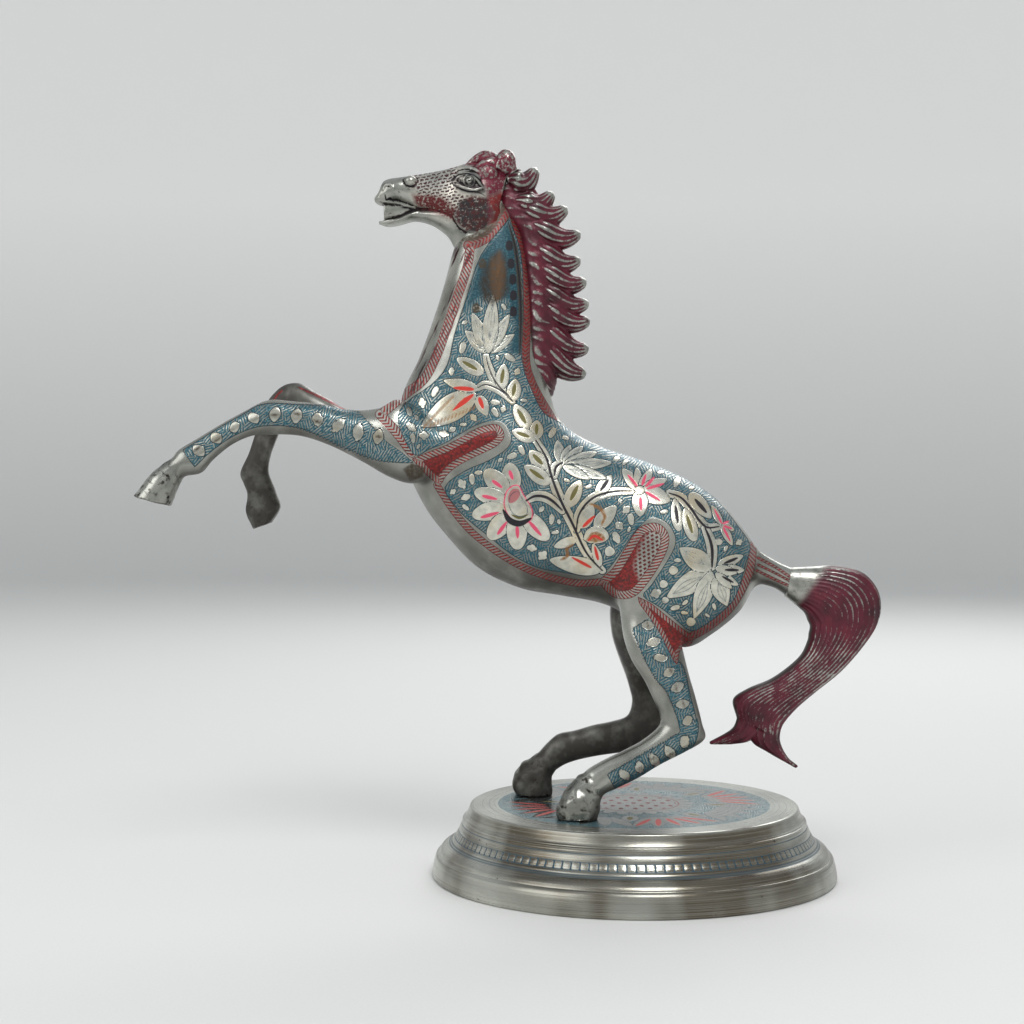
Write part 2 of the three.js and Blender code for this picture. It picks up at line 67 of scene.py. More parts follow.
# Ribs of the castings: [x, z] on one outline, [x, z] on the outline opposite, half-width,
# sideways place and narrowing towards the first outline
TORSO_RIBS = [
    [66, 98.5, 64.5, 86.5, 5.5], [58.5, 102, 57, 91, 5.8], [51, 107, 50, 91, 8],
    [46, 113.8, 43, 80.5, 16], [37, 124.8, 32, 71.5, 23], [26, 133.5, 21.5, 66, 26],
    [14, 139.5, 8.5, 69, 26.5], [2.5, 144, -4, 79.5, 26], [-10, 148, -15, 84.5, 25.5],
    [-20.5, 152.5, -31, 87.5, 26], [-27.5, 157, -47.5, 90.5, 26.5], [-32.5, 163, -64.5, 98.5, 26.5],
    [-34.5, 169, -77.5, 111.5, 25.5], [-35.5, 175.5, -88.5, 126.5, 23.5], [-37, 183.5, -97, 148, 21],
    [-38, 192, -97, 169, 18.5], [-39.5, 202.5, -89.5, 186.5, 16], [-41, 215, -83.5, 203, 14],
    [-43, 226.5, -79, 217.5, 12.5], [-46, 237.5, -76, 229, 10.8], [-50, 248, -73.5, 236.5, 8.8],
    [-53, 253, -71, 241.5, 7],
]
HEAD_RIBS = [
    [-52.5, 263, -59, 238, 8.5], [-57.5, 266, -65, 237, 10.5], [-63, 267, -71.5, 238, 11.2],
    [-69.5, 267, -77, 242.5, 10.6], [-75, 265.5, -81, 244.5, 9.2], [-81, 264, -86, 246.5, 8],
    [-89.5, 262.5, -91.5, 248, 7], [-97.5, 261.3, -98.5, 251, 7], [-102.2, 260.6, -103, 250, 6.4],
    [-104.8, 259.2, -105.2, 249.6, 5.4], [-106.4, 255.4, -107, 250.2, 4.2],
    [-108.2, 252.9, -108.2, 251.3, 2],
]
JAW_RIBS = [
    [-62, 248, -70.5, 227.5, 7.4], [-68, 249, -74.6, 231.4, 7.2], [-73, 250, -77.4, 236.2, 6.8],
    [-79, 249, -81.4, 239.6, 6.3], [-85, 248, -85.5, 241.8, 6], [-91.5, 247.5, -91.5, 243, 5.6],
    [-97.5, 244.8, -97.5, 241.5, 5.2], [-102.5, 243.5, -102.5, 240.8, 4.6],
    [-106.5, 243, -106.2, 241.8, 2.2],
]
MOUTH_RIBS = [
    [-88, 256, -88, 244, 3], [-98, 254, -98, 243, 3], [-104.3, 252, -104.3, 243, 2.4],
]
# Rounded features of the head: x, sideways, z, their reach along x, sideways and along z, and fullness
CHEEK = [-65.6, 5.8, 246.2, 9.8, 4.9, 9.4, 0.55]
EYE_SOCKET = [-68.5, 9.0, 259.2, 5.4, 2.5, 3]
TEMPLE = [-61.6, 6.6, 261.2, 4.8, 3.4, 4.6, 0.7]
NOSTRIL = [-93, 6, 259, 2.6, 2.2, 2.2]
EAR = [-53.6, 5.6, 267, 4.2, 3.6, 5.2]
FORELOCK = [-61.5, 0, 268, 4.4, 6.5, 4.4]

MANE_RIBS = [
    [-49, 264, -57, 253, 5, 0, 0.3], [-43.5, 258.5, -56, 246, 6.5, 0, 0.4],
    [-36, 250, -49, 238, 7.5, 0, 0.5], [-31, 241, -47.5, 229, 8, 0, 0.5],
    [-30, 230, -46.5, 219, 8.5, 0, 0.5], [-29.5, 221, -46, 210, 9, 0, 0.5],
    [-28.5, 212, -46, 201, 9.5, 0, 0.5], [-28, 203, -46, 192, 10, 0, 0.5],
    [-29, 194, -45.5, 184, 10.5, 0, 0.5], [-31, 185, -43.5, 177, 9.5, 0, 0.4],
    [-32.5, 176, -39, 171, 6.5, 0, 0.3], [-34, 170.5, -36, 168.5, 2.5],
]
LOCK_TIPS = [
    [-41, 265.5], [-34, 255.5], [-28, 249], [-22.5, 238.5], [-22.5, 227.5], [-20, 218.5], [-19, 209.5],
    [-18.5, 202], [-19, 190.5], [-20, 180],
]

LEFT_FORELEG_RIBS = [
    [-84, 166, -82, 137, 9, -13], [-96.5, 168.3, -91, 134, 10.5, -14.5],
    [-105.5, 164.8, -100.5, 136.5, 10, -16], [-117, 164, -112, 143, 8.8, -17],
    [-129, 166.5, -125, 149.5, 7.4, -17], [-139.5, 167.5, -137.5, 153.5, 6.4, -17],
    [-150.5, 168, -150.5, 154, 6.2, -17], [-160, 163.5, -157, 153.5, 5, -17],
    [-170, 158, -165, 150, 4.3, -17], [-179, 152.5, -172.5, 144, 4.3, -17],
    [-186.5, 148, -177.5, 138.5, 4.8, -17], [-189.5, 144.5, -184, 137, 4.4, -17],
    [-193, 142, -186, 134.5, 5, -17], [-198.5, 137.5, -188.5, 128.5, 6.4, -17],
    [-205, 129, -190, 125, 7, -17],
]
RIGHT_FORELEG_RIBS = [
    [-84, 163.5, -83, 137, 9, 13], [-95, 163.5, -93, 134.5, 10.5, 14.5], [-107, 164.5, -103, 137, 10, 16],
    [-121, 165.5, -113.5, 144, 8.4, 17], [-128.5, 169.5, -124, 152.5, 7.4, 17],
    [-135, 173, -132.5, 157.5, 6.6, 17], [-141.5, 176.5, -141, 161, 6.2, 17],
    [-149, 175, -145.5, 160, 6, 17], [-156, 167, -148.5, 159, 5.4, 17],
    [-160.5, 154, -150.5, 154, 4.6, 17], [-163, 146.5, -153.5, 146, 4.3, 17],
    [-166.5, 138.5, -154.5, 139.5, 4.8, 17], [-165, 133.5, -153, 134.5, 4.6, 17],
    [-163.5, 129, -151, 129, 5.2, 17], [-164, 121.5, -149.5, 123.5, 6.2, 17],
    [-161, 114.5, -153, 117.5, 6.2, 17],
]
LEFT_HIND_RIBS = [
    [-7, 92, 17, 79, 9, -13], [-7, 82, 18, 69.5, 10.5, -15.5], [-5.5, 71, 19.5, 62, 10.5, -18],
    [-2.5, 62.5, 21, 55.5, 9.6, -20.5], [2.5, 54.5, 22.5, 50, 8.2, -23], [6, 47, 24, 44, 7, -25],
    [8.5, 41, 25.5, 37.5, 6.4, -26], [8, 36.5, 26.5, 31.5, 6.2, -26.5], [1.5, 31, 19, 26.5, 5.6, -27],
    [-6, 27, 9, 21.5, 5, -27.5], [-13.5, 23.5, 0.5, 16.5, 4.8, -28], [-20.5, 19.5, -8.5, 12, 5, -28],
    [-26, 15, -14, 9.5, 5.2, -28.5], [-30, 10.5, -15.5, 6.5, 6.4, -29], [-33, 4.5, -16, 3.5, 7.4, -29],
    [-33, 0, -17, 0, 7.6, -29],
]
RIGHT_HIND_RIBS = [
    [-9, 90, 9, 80, 9, 13], [-9.5, 80, 10, 70, 10.5, 16], [-8.5, 69.5, 11.5, 61, 10.5, 19],
    [-5.5, 60, 13, 53.5, 9.6, 21.5], [-2.5, 52, 15, 46.5, 8.2, 23.5], [-0.5, 45.5, 16.5, 41, 7, 25],
    [0.5, 40, 18, 34, 6.4, 25.5], [-1.5, 34, 17.5, 26, 6.2, 26], [-8, 31.5, 5, 20, 5.6, 26.5],
    [-15.5, 30, -5.5, 18, 5, 26.5], [-24, 27.5, -15, 16.5, 4.8, 27], [-31, 26, -24, 14.5, 5, 27],
    [-36, 22, -30, 12, 5.2, 27], [-41, 16.5, -33.5, 8.5, 5.6, 28], [-47, 12.5, -34, 5, 6.8, 28],
    [-50.5, 5.5, -34, 3, 7.4, 28], [-49.5, 0, -34, 0, 7.6, 28],
]
TAIL_RIBS = [
    [64, 99, 62.5, 87, 5.5], [75, 99.5, 69, 81.8, 6.5], [83.5, 100, 71, 79.6, 7.2],
    [94, 97.5, 72, 77, 7.5], [100.5, 91, 73, 74.5, 7.5], [102.5, 83, 72.5, 71.5, 7.5],
    [100.5, 74.5, 72, 68.5, 7.5], [94.5, 65.5, 69.5, 63, 7.4], [85.5, 55.5, 64.5, 58, 7.2],
    [75, 47, 56.5, 52.5, 7], [67.5, 40.5, 47, 48.5, 6.6], [62, 34, 41, 44, 6], [60, 28.5, 42.5, 36.5, 5],
]
TAIL_FRONT_TIP_RIBS = [
    [55, 36, 43.5, 42, 5], [49, 27.5, 42.5, 36, 4.4], [41, 25.5, 40, 31.5, 3.4],
    [31.5, 25.4, 31, 26.4, 0.8],
]
TAIL_BACK_TIP_RIBS = [
    [62, 36, 48, 36, 5], [60.5, 27.5, 48.5, 27, 4.4], [63.5, 20.5, 55.5, 22, 3.4],
    [68, 16.5, 67, 15.5, 0.8],
]

# The leg muscles run on over the torso as low raised lobes, given for the left side
FORELEG_LOBE_RIBS = [
    [-54, 155.2, -54.5, 151.8, 10, -13.3],
    [-61, 158.2, -62, 146, 11, -13.3],
    [-70, 157.5, -71, 141.5, 10.8, -13],
    [-82, 160, -80, 137, 10, -13.2],
]
HIND_LOBE_RIBS = [
    [2.5, 117.5, 9, 118, 10.5, -15.2],
    [-2, 112, 12.3, 112.5, 11.8, -15.2],
    [-7.5, 104, 11, 106, 11.8, -15.2],
    [-9.5, 96.5, 11, 94, 11.2, -15],
    [-8, 88, 16.5, 80.5, 10.5, -15],
]

# How finely each form is remade, as the edge of a mesh cell
SKIN_CELL = 0.45
HEAD_CELL = 0.36
MANE_CELL = 0.36
TAIL_CELL = 0.42


def spline(points, count):
    """A smooth curve through the points, with count steps from each to the next."""
    points = np.asarray(points, float)
    ends = np.vstack([2 * points[0] - points[1], points, 2 * points[-1] - points[-2]])
    place = np.linspace(0, len(points) - 1, (len(points) - 1) * count + 1)
    span = np.minimum(place.astype(int), len(points) - 2)
    t = (place - span)[:, None]
    start, end = ends[span + 1], ends[span + 2]
    leave, arrive = (end - ends[span]) / 2, (ends[span + 3] - start) / 2
    bend = (2 * t**3 - 3 * t**2 + 1) * start + (3 * t**2 - 2 * t**3) * end
    return bend + (t**3 - 2 * t**2 + t) * leave + (t**3 - t**2) * arrive


def unit_rows(vectors):
    return vectors / np.linalg.norm(vectors, axis=1, keepdims=True)


def closed(points):
    """The points with the first one again at the end."""
    points = np.asarray(points, float)
    return np.vstack([points, points[:1]])


def ring_mesh(rings):
    """Vertices and faces of a closed skin over rings of points."""
    count, around, _ = rings.shape
    caps = rings[[0, -1]].mean(axis=1)
    vertices = np.vstack([rings.reshape(-1, 3), caps])
    index = np.arange(count * around).reshape(count, around)
    onward = np.roll(index, -1, axis=1)
    faces = np.stack([index[:-1], onward[:-1], onward[1:], index[1:]], axis=-1).reshape(-1, 4).tolist()
    first_cap, last_cap = len(vertices) - 2, len(vertices) - 1
    faces += [[first_cap, b, a] for a, b in zip(index[0], onward[0])]
    faces += [[last_cap, a, b] for a, b in zip(index[-1], onward[-1])]
    return vertices, faces


def rib_loft(ribs, around=64, steps=10, fullness=1.0, relief=None):
    """A closed skin over ribs. relief(along, angle) raises it, from the share of its length and the angle."""
    rows = np.array([list(rib) + [0] * (7 - len(rib)) for rib in ribs], float)
    fine = spline(rows, steps)
    first, second = fine[:, None, 0:2], fine[:, None, 2:4]
    half, side, narrow = (fine[:, 4:7, None]).transpose(1, 0, 2)
    angle = np.linspace(0, 2 * np.pi, around, endpoint=False)[None, :]

    def curl(value):
        return np.sign(value) * np.abs(value) ** fullness

    along = curl(np.cos(angle)) * np.ones_like(half)
    across = curl(np.sin(angle)) * half * (1 - narrow * along)
    reach = (first - second) / 2
    if relief is not None:
        length = np.maximum(np.linalg.norm(reach, axis=-1), 0.1)
        lift = relief(np.linspace(0, 1, len(fine))[:, None], angle)
        along = along + lift * np.cos(angle) / length
        across = across + lift * np.sin(angle)
    flat = (first + second) / 2 + along[..., None] * reach
    return ring_mesh(np.stack([flat[..., 0], side + across, flat[..., 1]], axis=-1))


def tube(path, radii, around=12, steps=6):
    """A closed round tube through points in space, with a radius at each point."""
    fine = spline(np.column_stack([path, radii]), steps)
    line, radius = fine[:, :3], fine[:, 3:]
    heading = unit_rows(np.gradient(line, axis=0))
    sideways = unit_rows(np.cross(heading, [0.0, 1.0, 0.0]))
    upright = np.cross(heading, sideways)
    angle = np.linspace(0, 2 * np.pi, around, endpoint=False)[None, :, None]
    circle = np.cos(angle) * sideways[:, None] + np.sin(angle) * upright[:, None]
    return ring_mesh(line[:, None] + circle * radius[:, None])


def ellipsoid(x, side, z, reach_x, reach_side, reach_z, fullness=1.0, around=40, rows=26):
    """A rounded lump. A fullness under 1 flattens its sides."""
    turn = np.linspace(0, 2 * np.pi, around, endpoint=False)[None, :]
    tilt = np.linspace(0.02, np.pi - 0.02, rows)[:, None]
    level = np.cos(tilt) * np.ones_like(turn)
    sideways = np.sin(tilt) * np.sin(turn)
    sideways = np.sign(sideways) * np.abs(sideways) ** fullness
    rings = np.stack([np.sin(tilt) * np.cos(turn), sideways, level], axis=-1)
    return ring_mesh(rings * [reach_x, reach_side, reach_z] + [x, side, z])


def mirrored(part):
    vertices, faces = part
    return vertices * [1, -1, 1], [face[::-1] for face in faces]


def both_sides(parts):
    return [*parts, *(mirrored(part) for part in parts)]


def joined(parts):
    """Several meshes as one, still separate inside."""
    start = 0
    all_faces = []
    for vertices, faces in parts:
        all_faces += [[start + corner for corner in face] for face in faces]
        start += len(vertices)
    return np.vstack([vertices for vertices, _ in parts]), all_faces


def mesh_arrays(mesh):
    """Vertices and faces as arrays; a face has four corners, the last one doubled in a triangle."""
    vertices = np.empty(len(mesh.vertices) * 3)
    mesh.vertices.foreach_get("co", vertices)
    corners = np.empty(len(mesh.loops), int)
    mesh.loops.foreach_get("vertex_index", corners)
    start = np.empty(len(mesh.polygons), int)
    mesh.polygons.foreach_get("loop_start", start)
    total = np.empty(len(mesh.polygons), int)
    mesh.polygons.foreach_get("loop_total", total)
    faces = corners[start[:, None] + np.minimum(np.arange(4), total[:, None] - 1)]
    return vertices.reshape(-1, 3), faces


def new_mesh(name, vertices, faces):
    mesh = bpy.data.meshes.new(name)
    mesh.from_pydata(np.asarray(vertices).tolist(), [], faces)
    return mesh


def remade(parts, cell):
    """One even skin over parts that overlap, in cells of this size."""
    work = bpy.data.objects.new("work", new_mesh("work", *joined(parts)))
    bpy.context.scene.collection.objects.link(work)
    remesh = work.modifiers.new("skin", "REMESH")
    remesh.mode = "VOXEL"
    remesh.voxel_size = cell
    remesh.adaptivity = 0
    whole = work.evaluated_get(bpy.context.evaluated_depsgraph_get())
    skin = bpy.data.meshes.new_from_object(whole)
    arrays = mesh_arrays(skin)
    source = work.data
    bpy.data.objects.remove(work)
    bpy.data.meshes.remove(source)
    bpy.data.meshes.remove(skin)
    return arrays


class Surface:
    """A mesh held as arrays, with the links between its vertices."""

    def __init__(self, vertices, faces):
        self.vertices = vertices
        self.faces = faces
        sides = np.vstack([faces[:, [0, 1]], faces[:, [1, 2]], faces[:, [2, 3]], faces[:, [3, 0]]])
        sides = np.unique(np.sort(sides, axis=1), axis=0)
        self.edges = sides[sides[:, 0] != sides[:, 1]]
        self.valence = np.bincount(self.edges.ravel(), minlength=len(vertices))

    def mean_around(self, values):
        """The mean of each vertex's neighbours."""
        a, b = self.edges.T
        count = len(values)
        total = np.empty_like(values)
        for k in range(values.shape[1]):
            total[:, k] = np.bincount(a, values[b, k], count) + np.bincount(b, values[a, k], count)
        return total / self.valence[:, None]

    def smooth(self, rounds, inward=0.5, outward=-0.52, weight=1.0):
        """Irons steps out; an outward move after each inward one keeps the size."""
        for _ in range(rounds):
            for pull in (inward, outward):
                self.vertices += weight * pull * (self.mean_around(self.vertices) - self.vertices)

    def normals(self):
        corners = self.vertices[self.faces]
        across = np.cross(corners[:, 2] - corners[:, 0], corners[:, 3] - corners[:, 1])
        total = np.zeros_like(self.vertices)
        for k in range(4):
            for axis in range(3):
                total[:, axis] += np.bincount(self.faces[:, k], across[:, axis], len(total))
        return total / np.maximum(np.linalg.norm(total, axis=1, keepdims=True), 1e-9)

    def crest(self, rounds):
        """How far each vertex stands above its blurred surroundings."""
        points = self.vertices.copy()
        for _ in range(rounds):
            points += 0.9 * (self.mean_around(points) - points)
        return np.einsum("ij,ij->i", self.vertices - points, self.normals())

    def lumps(self, rounds, seed):
        """Uneven heights from about -1 to 1, as wide as the rounds of blurring make them."""
        heights = np.random.default_rng(seed).normal(size=(len(self.vertices), 1))
        for _ in range(rounds):
            heights = self.mean_around(heights)
        return heights[:, 0] / (2 * heights.std())

    def part(self, keep):
        """The chosen faces as a surface of their own, and which vertices it took."""
        faces = self.faces[keep]
        used, renumbered = np.unique(faces, return_inverse=True)
        return Surface(self.vertices[used], renumbered.reshape(faces.shape)), used

    def largest(self):
        """This surface without any smaller, separate skin."""
        label = np.arange(len(self.vertices))
        a, b = self.edges.T
        settled = False
        while not settled:
            low = np.minimum(label[a], label[b])
            fresh = label.copy()
            np.minimum.at(fresh, label[a], low)
            np.minimum.at(fresh, label[b], low)
            fresh = fresh[fresh[fresh]]
            settled = np.array_equal(fresh, label)
            label = fresh
        main = np.bincount(label).argmax()
        return self.part(label[self.faces[:, 0]] == main)[0]


def sculpted(parts, cell, rounds):
    surface = Surface(*remade(parts, cell)).largest()
    surface.smooth(rounds)
    return surface


def object_of(name, surface, origin, fields):
    """A Blender object of a surface, in metres, with its open edges closed and fields as attributes."""
    faces = [list(dict.fromkeys(face)) for face in surface.faces.tolist()]
    mesh = new_mesh(name, (surface.vertices + origin) * MM, faces)
    for field, values in fields.items():
        flat = values.ndim == 1
        attribute = mesh.attributes.new(field, "FLOAT" if flat else "FLOAT_VECTOR", "POINT")
        attribute.data.foreach_set("value" if flat else "vector", values.astype(np.float32).ravel())
    build = bmesh.new()
    build.from_mesh(mesh)
    rim = [edge for edge in build.edges if edge.is_boundary]
    for edge in rim:
        edge.smooth = False
    bmesh.ops.holes_fill(build, edges=rim, sides=0)
    bmesh.ops.triangulate(build, faces=[face for face in build.faces if len(face.verts) > 4])
    bmesh.ops.recalc_face_normals(build, faces=build.faces)
    for face in build.faces:
        face.smooth = True
    build.to_mesh(mesh)
    build.free()
    made = bpy.data.objects.new(name, mesh)
    bpy.context.scene.collection.objects.link(made)
    return made


# Drawn ornament: signed distances to drawn shapes, negative inside, in pixels of the photograph
class Drawing:
    """One field of distances for each pigment, over points in photograph pixels."""

    FAR = 30.0
    REACH = 6.0
    OUTLINE = 0.8

    def __init__(self, points):
        self.points = points
        self.by_column = np.argsort(points[:, 0])
        self.columns = points[self.by_column, 0]
        self.fields = {}
        self.rope = np.zeros((len(points), 3))

    def field(self, name):
        return self.fields.setdefault(name, np.full(len(self.points), self.FAR))

    def near(self, outline, margin):
        low, high = outline.min(axis=0) - margin, outline.max(axis=0) + margin
        first, last = np.searchsorted(self.columns, [low[0], high[0]])
        where = self.by_column[first:last]
        rows = self.points[where, 1]
        return where[(rows > low[1]) & (rows < high[1])]

    def stamp(self, name, where, distance, over=0.0):
        """Adds a shape to a field. A shape that lies over the others keeps its own outline."""
        field = self.field(name)
        field[where] = np.where(distance < over, distance, np.minimum(field[where], distance))

    def leaf(self, name, base, tip, half, round_end=0.7, over=OUTLINE):
        """A leaf or petal with one half-width. round_end is 1 for a pointed one and less for a blunt one."""
        base, tip = np.array(base, float), np.array(tip, float)
        where = self.near(np.array([base, tip]), half + self.REACH)
        axis = tip - base
        length = np.linalg.norm(axis)
        offset = self.points[where] - base
        along = offset @ axis / length**2
        across = np.abs(offset @ np.array([-axis[1], axis[0]])) / length
        inside = np.clip(along, 0, 1)
        width = half * np.sin(np.pi * inside**0.8) ** round_end
        beyond = np.abs(along - inside) * length
        self.stamp(name, where, np.where(beyond > 0, np.hypot(beyond, across), across - width), over)

    def path_distance(self, where, path):
        """Distance to a line, the share of the way along it, the side of it and its whole length."""
        points = self.points[where]
        best = np.full(len(where), np.inf)
        along = np.zeros(len(where))
        side = np.zeros(len(where))
        walked = 0.0
        for start, end in zip(path[:-1], path[1:]):
            step = end - start
            length = np.linalg.norm(step)
            offset = points - start
            share = np.clip(offset @ step / max(length, 1e-9) ** 2, 0, 1)
            gap = np.linalg.norm(offset - share[:, None] * step, axis=1)
            closer = gap < best
            best[closer] = gap[closer]
            along[closer] = walked + share[closer] * length
            side[closer] = np.sign(step[0] * offset[closer, 1] - step[1] * offset[closer, 0])
            walked += length
        return best, along / max(walked, 1e-9), side, walked

    def stroke(self, name, path, half, taper=0.0, over=0.0):
        """A drawn line. taper is how much of its width is lost towards both ends."""
        line = spline(path, 5)
        where = self.near(line, half + self.REACH)
        gap, share, _, _ = self.path_distance(where, line)
        width = half * (1 - taper * np.abs(2 * share - 1) ** 2)
        self.stamp(name, where, gap - width, over)

    def region_distance(self, outline, margin):
        where = self.near(outline, margin)
        loop = closed(outline)
        gap, share, _, walked = self.path_distance(where, loop)
        x, y = self.points[where].T
        inside = np.zeros(len(where), bool)
        for (x0, y0), (x1, y1) in zip(loop[:-1], loop[1:]):
            if y0 != y1:
                crosses = (y0 > y) != (y1 > y)
                inside ^= crosses & (x < (x1 - x0) * (y - y0) / (y1 - y0) + x0)
        return where, np.where(inside, -gap, gap), share * walked

    def region(self, name, outline, margin=REACH, over=0.0):
        where, distance, _ = self.region_distance(outline, margin)
        self.stamp(name, where, distance, over)

    def rope_along(self, path, half, tone, chevron):
        """A border of slanted ticks or chevrons along a line. tone is 0 on silver and 1 on dark."""
        line = spline(path, 6)
        where = self.near(line, half + self.REACH)
        gap, share, side, walked = self.path_distance(where, line)
        self.take_rope(where, gap - half, share * walked, gap if chevron else gap * side, tone)

    def rope_inside(self, outline, width, tone):
        """A border of slanted ticks just inside a closed outline."""
        where, distance, along = self.region_distance(outline, self.REACH)
        self.take_rope(where, np.maximum(distance, -distance - width), along, distance + width / 2, tone)

    def take_rope(self, where, distance, along, across, tone):
        closer = distance < self.field("border")[where]
        chosen = where[closer]
        self.fields["border"][chosen] = distance[closer]
        self.rope[chosen] = np.column_stack([along, across, np.full(len(where), tone)])[closer]

    def all_fields(self, **more):
        """Every field by name, with the points drawn on and any further fields."""
        flat = np.column_stack([self.points, np.zeros(len(self.points))])
        return {**self.fields, "drawing": flat, **more}


class Sheet:
    """A window of the photograph, enlarged, on which ornament was measured."""

    def __init__(self, left, top, zoom):
        self.corner = np.array([left, top], float)
        self.zoom = zoom

    def at(self, *points):
        placed = self.corner + np.array(points, float) / self.zoom
        return placed[0] if len(points) == 1 else placed

    def size(self, length):
        return length / self.zoom


def photo_points(vertices):
    """Where points of the horse show in the photograph, with the right side folded over the left."""
    x, side, z = vertices.T
    depth = PIXEL_AT_AXIS * (1 + (HORSE_SIDEWAYS - np.abs(side)) / CAMERA_DISTANCE)
    height = z + HORSE_ORIGIN[2]
    column = PHOTO_SIZE / 2 + (x + PHOTO_AXIS_OFFSET) / depth
    return np.column_stack([column, PHOTO_LEVEL_ROW + (CAMERA_HEIGHT - height) / depth])


# Sheets on which the ornament was measured
NECK = Sheet(365, 140, 5.6)
SIDE = Sheet(380, 330, 5.808)
RUMP = Sheet(580, 420, 4.355)

# The enamelled panel on the flank, from the poll round the back, rump, thigh, belly, shoulder and chest
PANEL = [
    (509, 219), (521, 254), (523.5, 311), (522, 360), (533, 393), (544, 413), (561, 423), (585, 441),
    (620, 452), (660, 465), (693, 481), (717, 500), (738, 526), (750, 545), (746, 563), (736, 596),
    (723, 611), (706.5, 624), (691, 631), (674, 618), (660, 607), (643.5, 596), (652, 584.5),
    (668.6, 559), (675.6, 544), (674, 532.5), (666, 521.5), (652, 517), (642, 524), (632, 535.5),
    (618, 556.5), (604, 572), (582, 574.7), (561, 572), (536, 567), (511, 554), (488, 535.7),
    (469.6, 521), (456.4, 507.5), (444.8, 487.6), (464.7, 471), (488, 461), (507.8, 447.8),
    (511, 434.5), (501, 421), (481, 423), (461, 433), (444.8, 443), (428, 449.5), (414, 454.5),
    (398.3, 423), (404.6, 404), (431.4, 384.6), (447.5, 365), (454.6, 334.6), (467, 297), (481, 255),
]
NECK_FRONT = [
    (474, 246), (466, 290), (452, 330), (440, 362), (424, 384), (400, 402), (384, 414), (398, 396),
    (420, 360), (436, 312), (450, 270), (453, 247),
]
# Where the neck's enamel isn't hatched or is tarnished, its dark edge along the mane and the brown band along
# the jaw, both painted shade, the braze at the elbow, and the red lobes of shoulder and thigh
NECK_SOLID = [
    (645, 640), (800, 450), (860, 600), (885, 900), (880, 1200), (800, 1190), (840, 1040), (800, 900),
    (700, 860), (620, 900), (560, 960), (600, 800),
]
NECK_TARNISH = [
    (640, 800), (668, 705), (716, 640), (762, 612), (796, 680), (806, 850), (760, 905), (715, 925),
    (660, 905),
]
MANE_SIDE_SHADE = [(806, 470), (842, 600), (866, 800), (874, 1000), (868, 1200)]
JAW_SHADE = [(545, 560), (620, 540), (690, 498), (748, 410), (792, 330)]
BRAZE_PATCH = [(403, 469), (412, 463), (425, 468), (423, 477), (410, 481)]
SHOULDER_LOBE = [
    (412, 459), (430, 451.5), (446, 445.5), (461, 437.5), (475, 429.5), (488, 425), (498, 425), (503.5, 432),
    (503, 439), (494, 447.5), (473, 457.5), (456, 467), (446, 476), (440, 484), (430, 478), (420, 468),
]
THIGH_LOBE = [
    (632, 537), (638, 529), (647, 524), (658, 523.5), (666, 530), (669, 539), (666.5, 551), (659, 566),
    (650.5, 579), (640, 592), (630, 598), (616, 598), (604, 589), (600, 580), (611, 570.5), (620, 557),
]
LOBE_CUTS = [(650, 528), (664, 534), (664, 548), (652, 568), (640, 582), (634, 566), (640, 545)]
THIGH_WEDGE = [
    (638, 597), (650, 603), (664, 614), (680, 627), (692, 637), (690, 646), (680, 651), (677, 664),
    (670, 653), (660, 633), (648, 615), (640, 604),
]

# Leaves with a coloured vein: base, tip, half-width and pigment of the vein
SIDE_LEAVES = [
    ((600, 252), (446, 163), 42, "olive"),
    ((700, 345), (722, 196), 40, "olive"),
    ((768, 412), (790, 284), 42, "olive"),
    ((868, 575), (782, 432), 46, "olive"),
    ((908, 632), (912, 522), 40, "olive"),
    ((900, 632), (766, 586), 40, "olive"),
    ((968, 805), (868, 702), 46, "olive"),
    ((985, 892), (838, 786), 44, "olive"),
    ((1088, 1025), (1166, 872), 46, "olive"),
    ((1262, 962), (1346, 842), 38, "black"),
]
RUMP_LEAVES = [
    ((432, 484), (412, 340), 26, "black"),
    ((500, 528), (456, 382), 30, "olive"),
    ((478, 318), (572, 428), 32, "black"),
    ((600, 636), (712, 590), 24, "black"),
    ((604, 652), (716, 654), 24, "black"),
    ((596, 668), (690, 720), 20, "black"),
]
# Petals: base, tip and half-width
DAISY_PETALS = [
    ((772, 930), (752, 772), 56),
    ((735, 940), (610, 814), 58),
    ((725, 990), (548, 938), 50),
    ((725, 1030), (536, 1078), 54),
    ((745, 1080), (632, 1212), 58),
    ((790, 1090), (800, 1276), 60),
    ((845, 1080), (978, 1218), 56),
]
DAISY_STREAKS = [
    ((752, 815), (772, 872)), ((650, 872), (712, 918)), ((592, 962), (684, 984)), ((584, 1090), (694, 1058)),
    ((682, 1188), (738, 1112)), ((796, 1138), (800, 1212)), ((866, 1112), (940, 1198)),
]
LOTUS_PETALS = [
    ((1055, 775), (1030, 640), 34),
    ((1060, 770), (1106, 668), 28),
    ((1065, 770), (1180, 676), 28),
    ((1075, 775), (1260, 710), 30),
    ((1075, 785), (1346, 772), 34),
    ((1075, 790), (1320, 862), 32),
    ((1065, 790), (1220, 866), 28),
]
PALMETTE_LEAVES = [
    ((690, 1190), (560, 1066), 38),
    ((690, 1190), (838, 1086), 32),
    ((690, 1190), (600, 966), 40),
    ((690, 1190), (810, 974), 36),
    ((690, 1195), (720, 866), 44),
]
TULIP_PETALS = [
    ((575, 345), (366, 292), 36),
    ((570, 380), (622, 500), 38),
    ((555, 368), (240, 560), 78),
]
TULIP_STREAKS = [((548, 345), (425, 335)), ((520, 385), (440, 450)), ((575, 390), (600, 460))]
PINK_FLOWER_PETALS = [
    ((262, 305), (184, 212), 26),
    ((262, 305), (246, 206), 20),
    ((262, 305), (312, 212), 22),
    ((262, 305), (378, 258), 24),
    ((262, 305), (394, 352), 40),
    ((262, 305), (262, 420), 36),
]
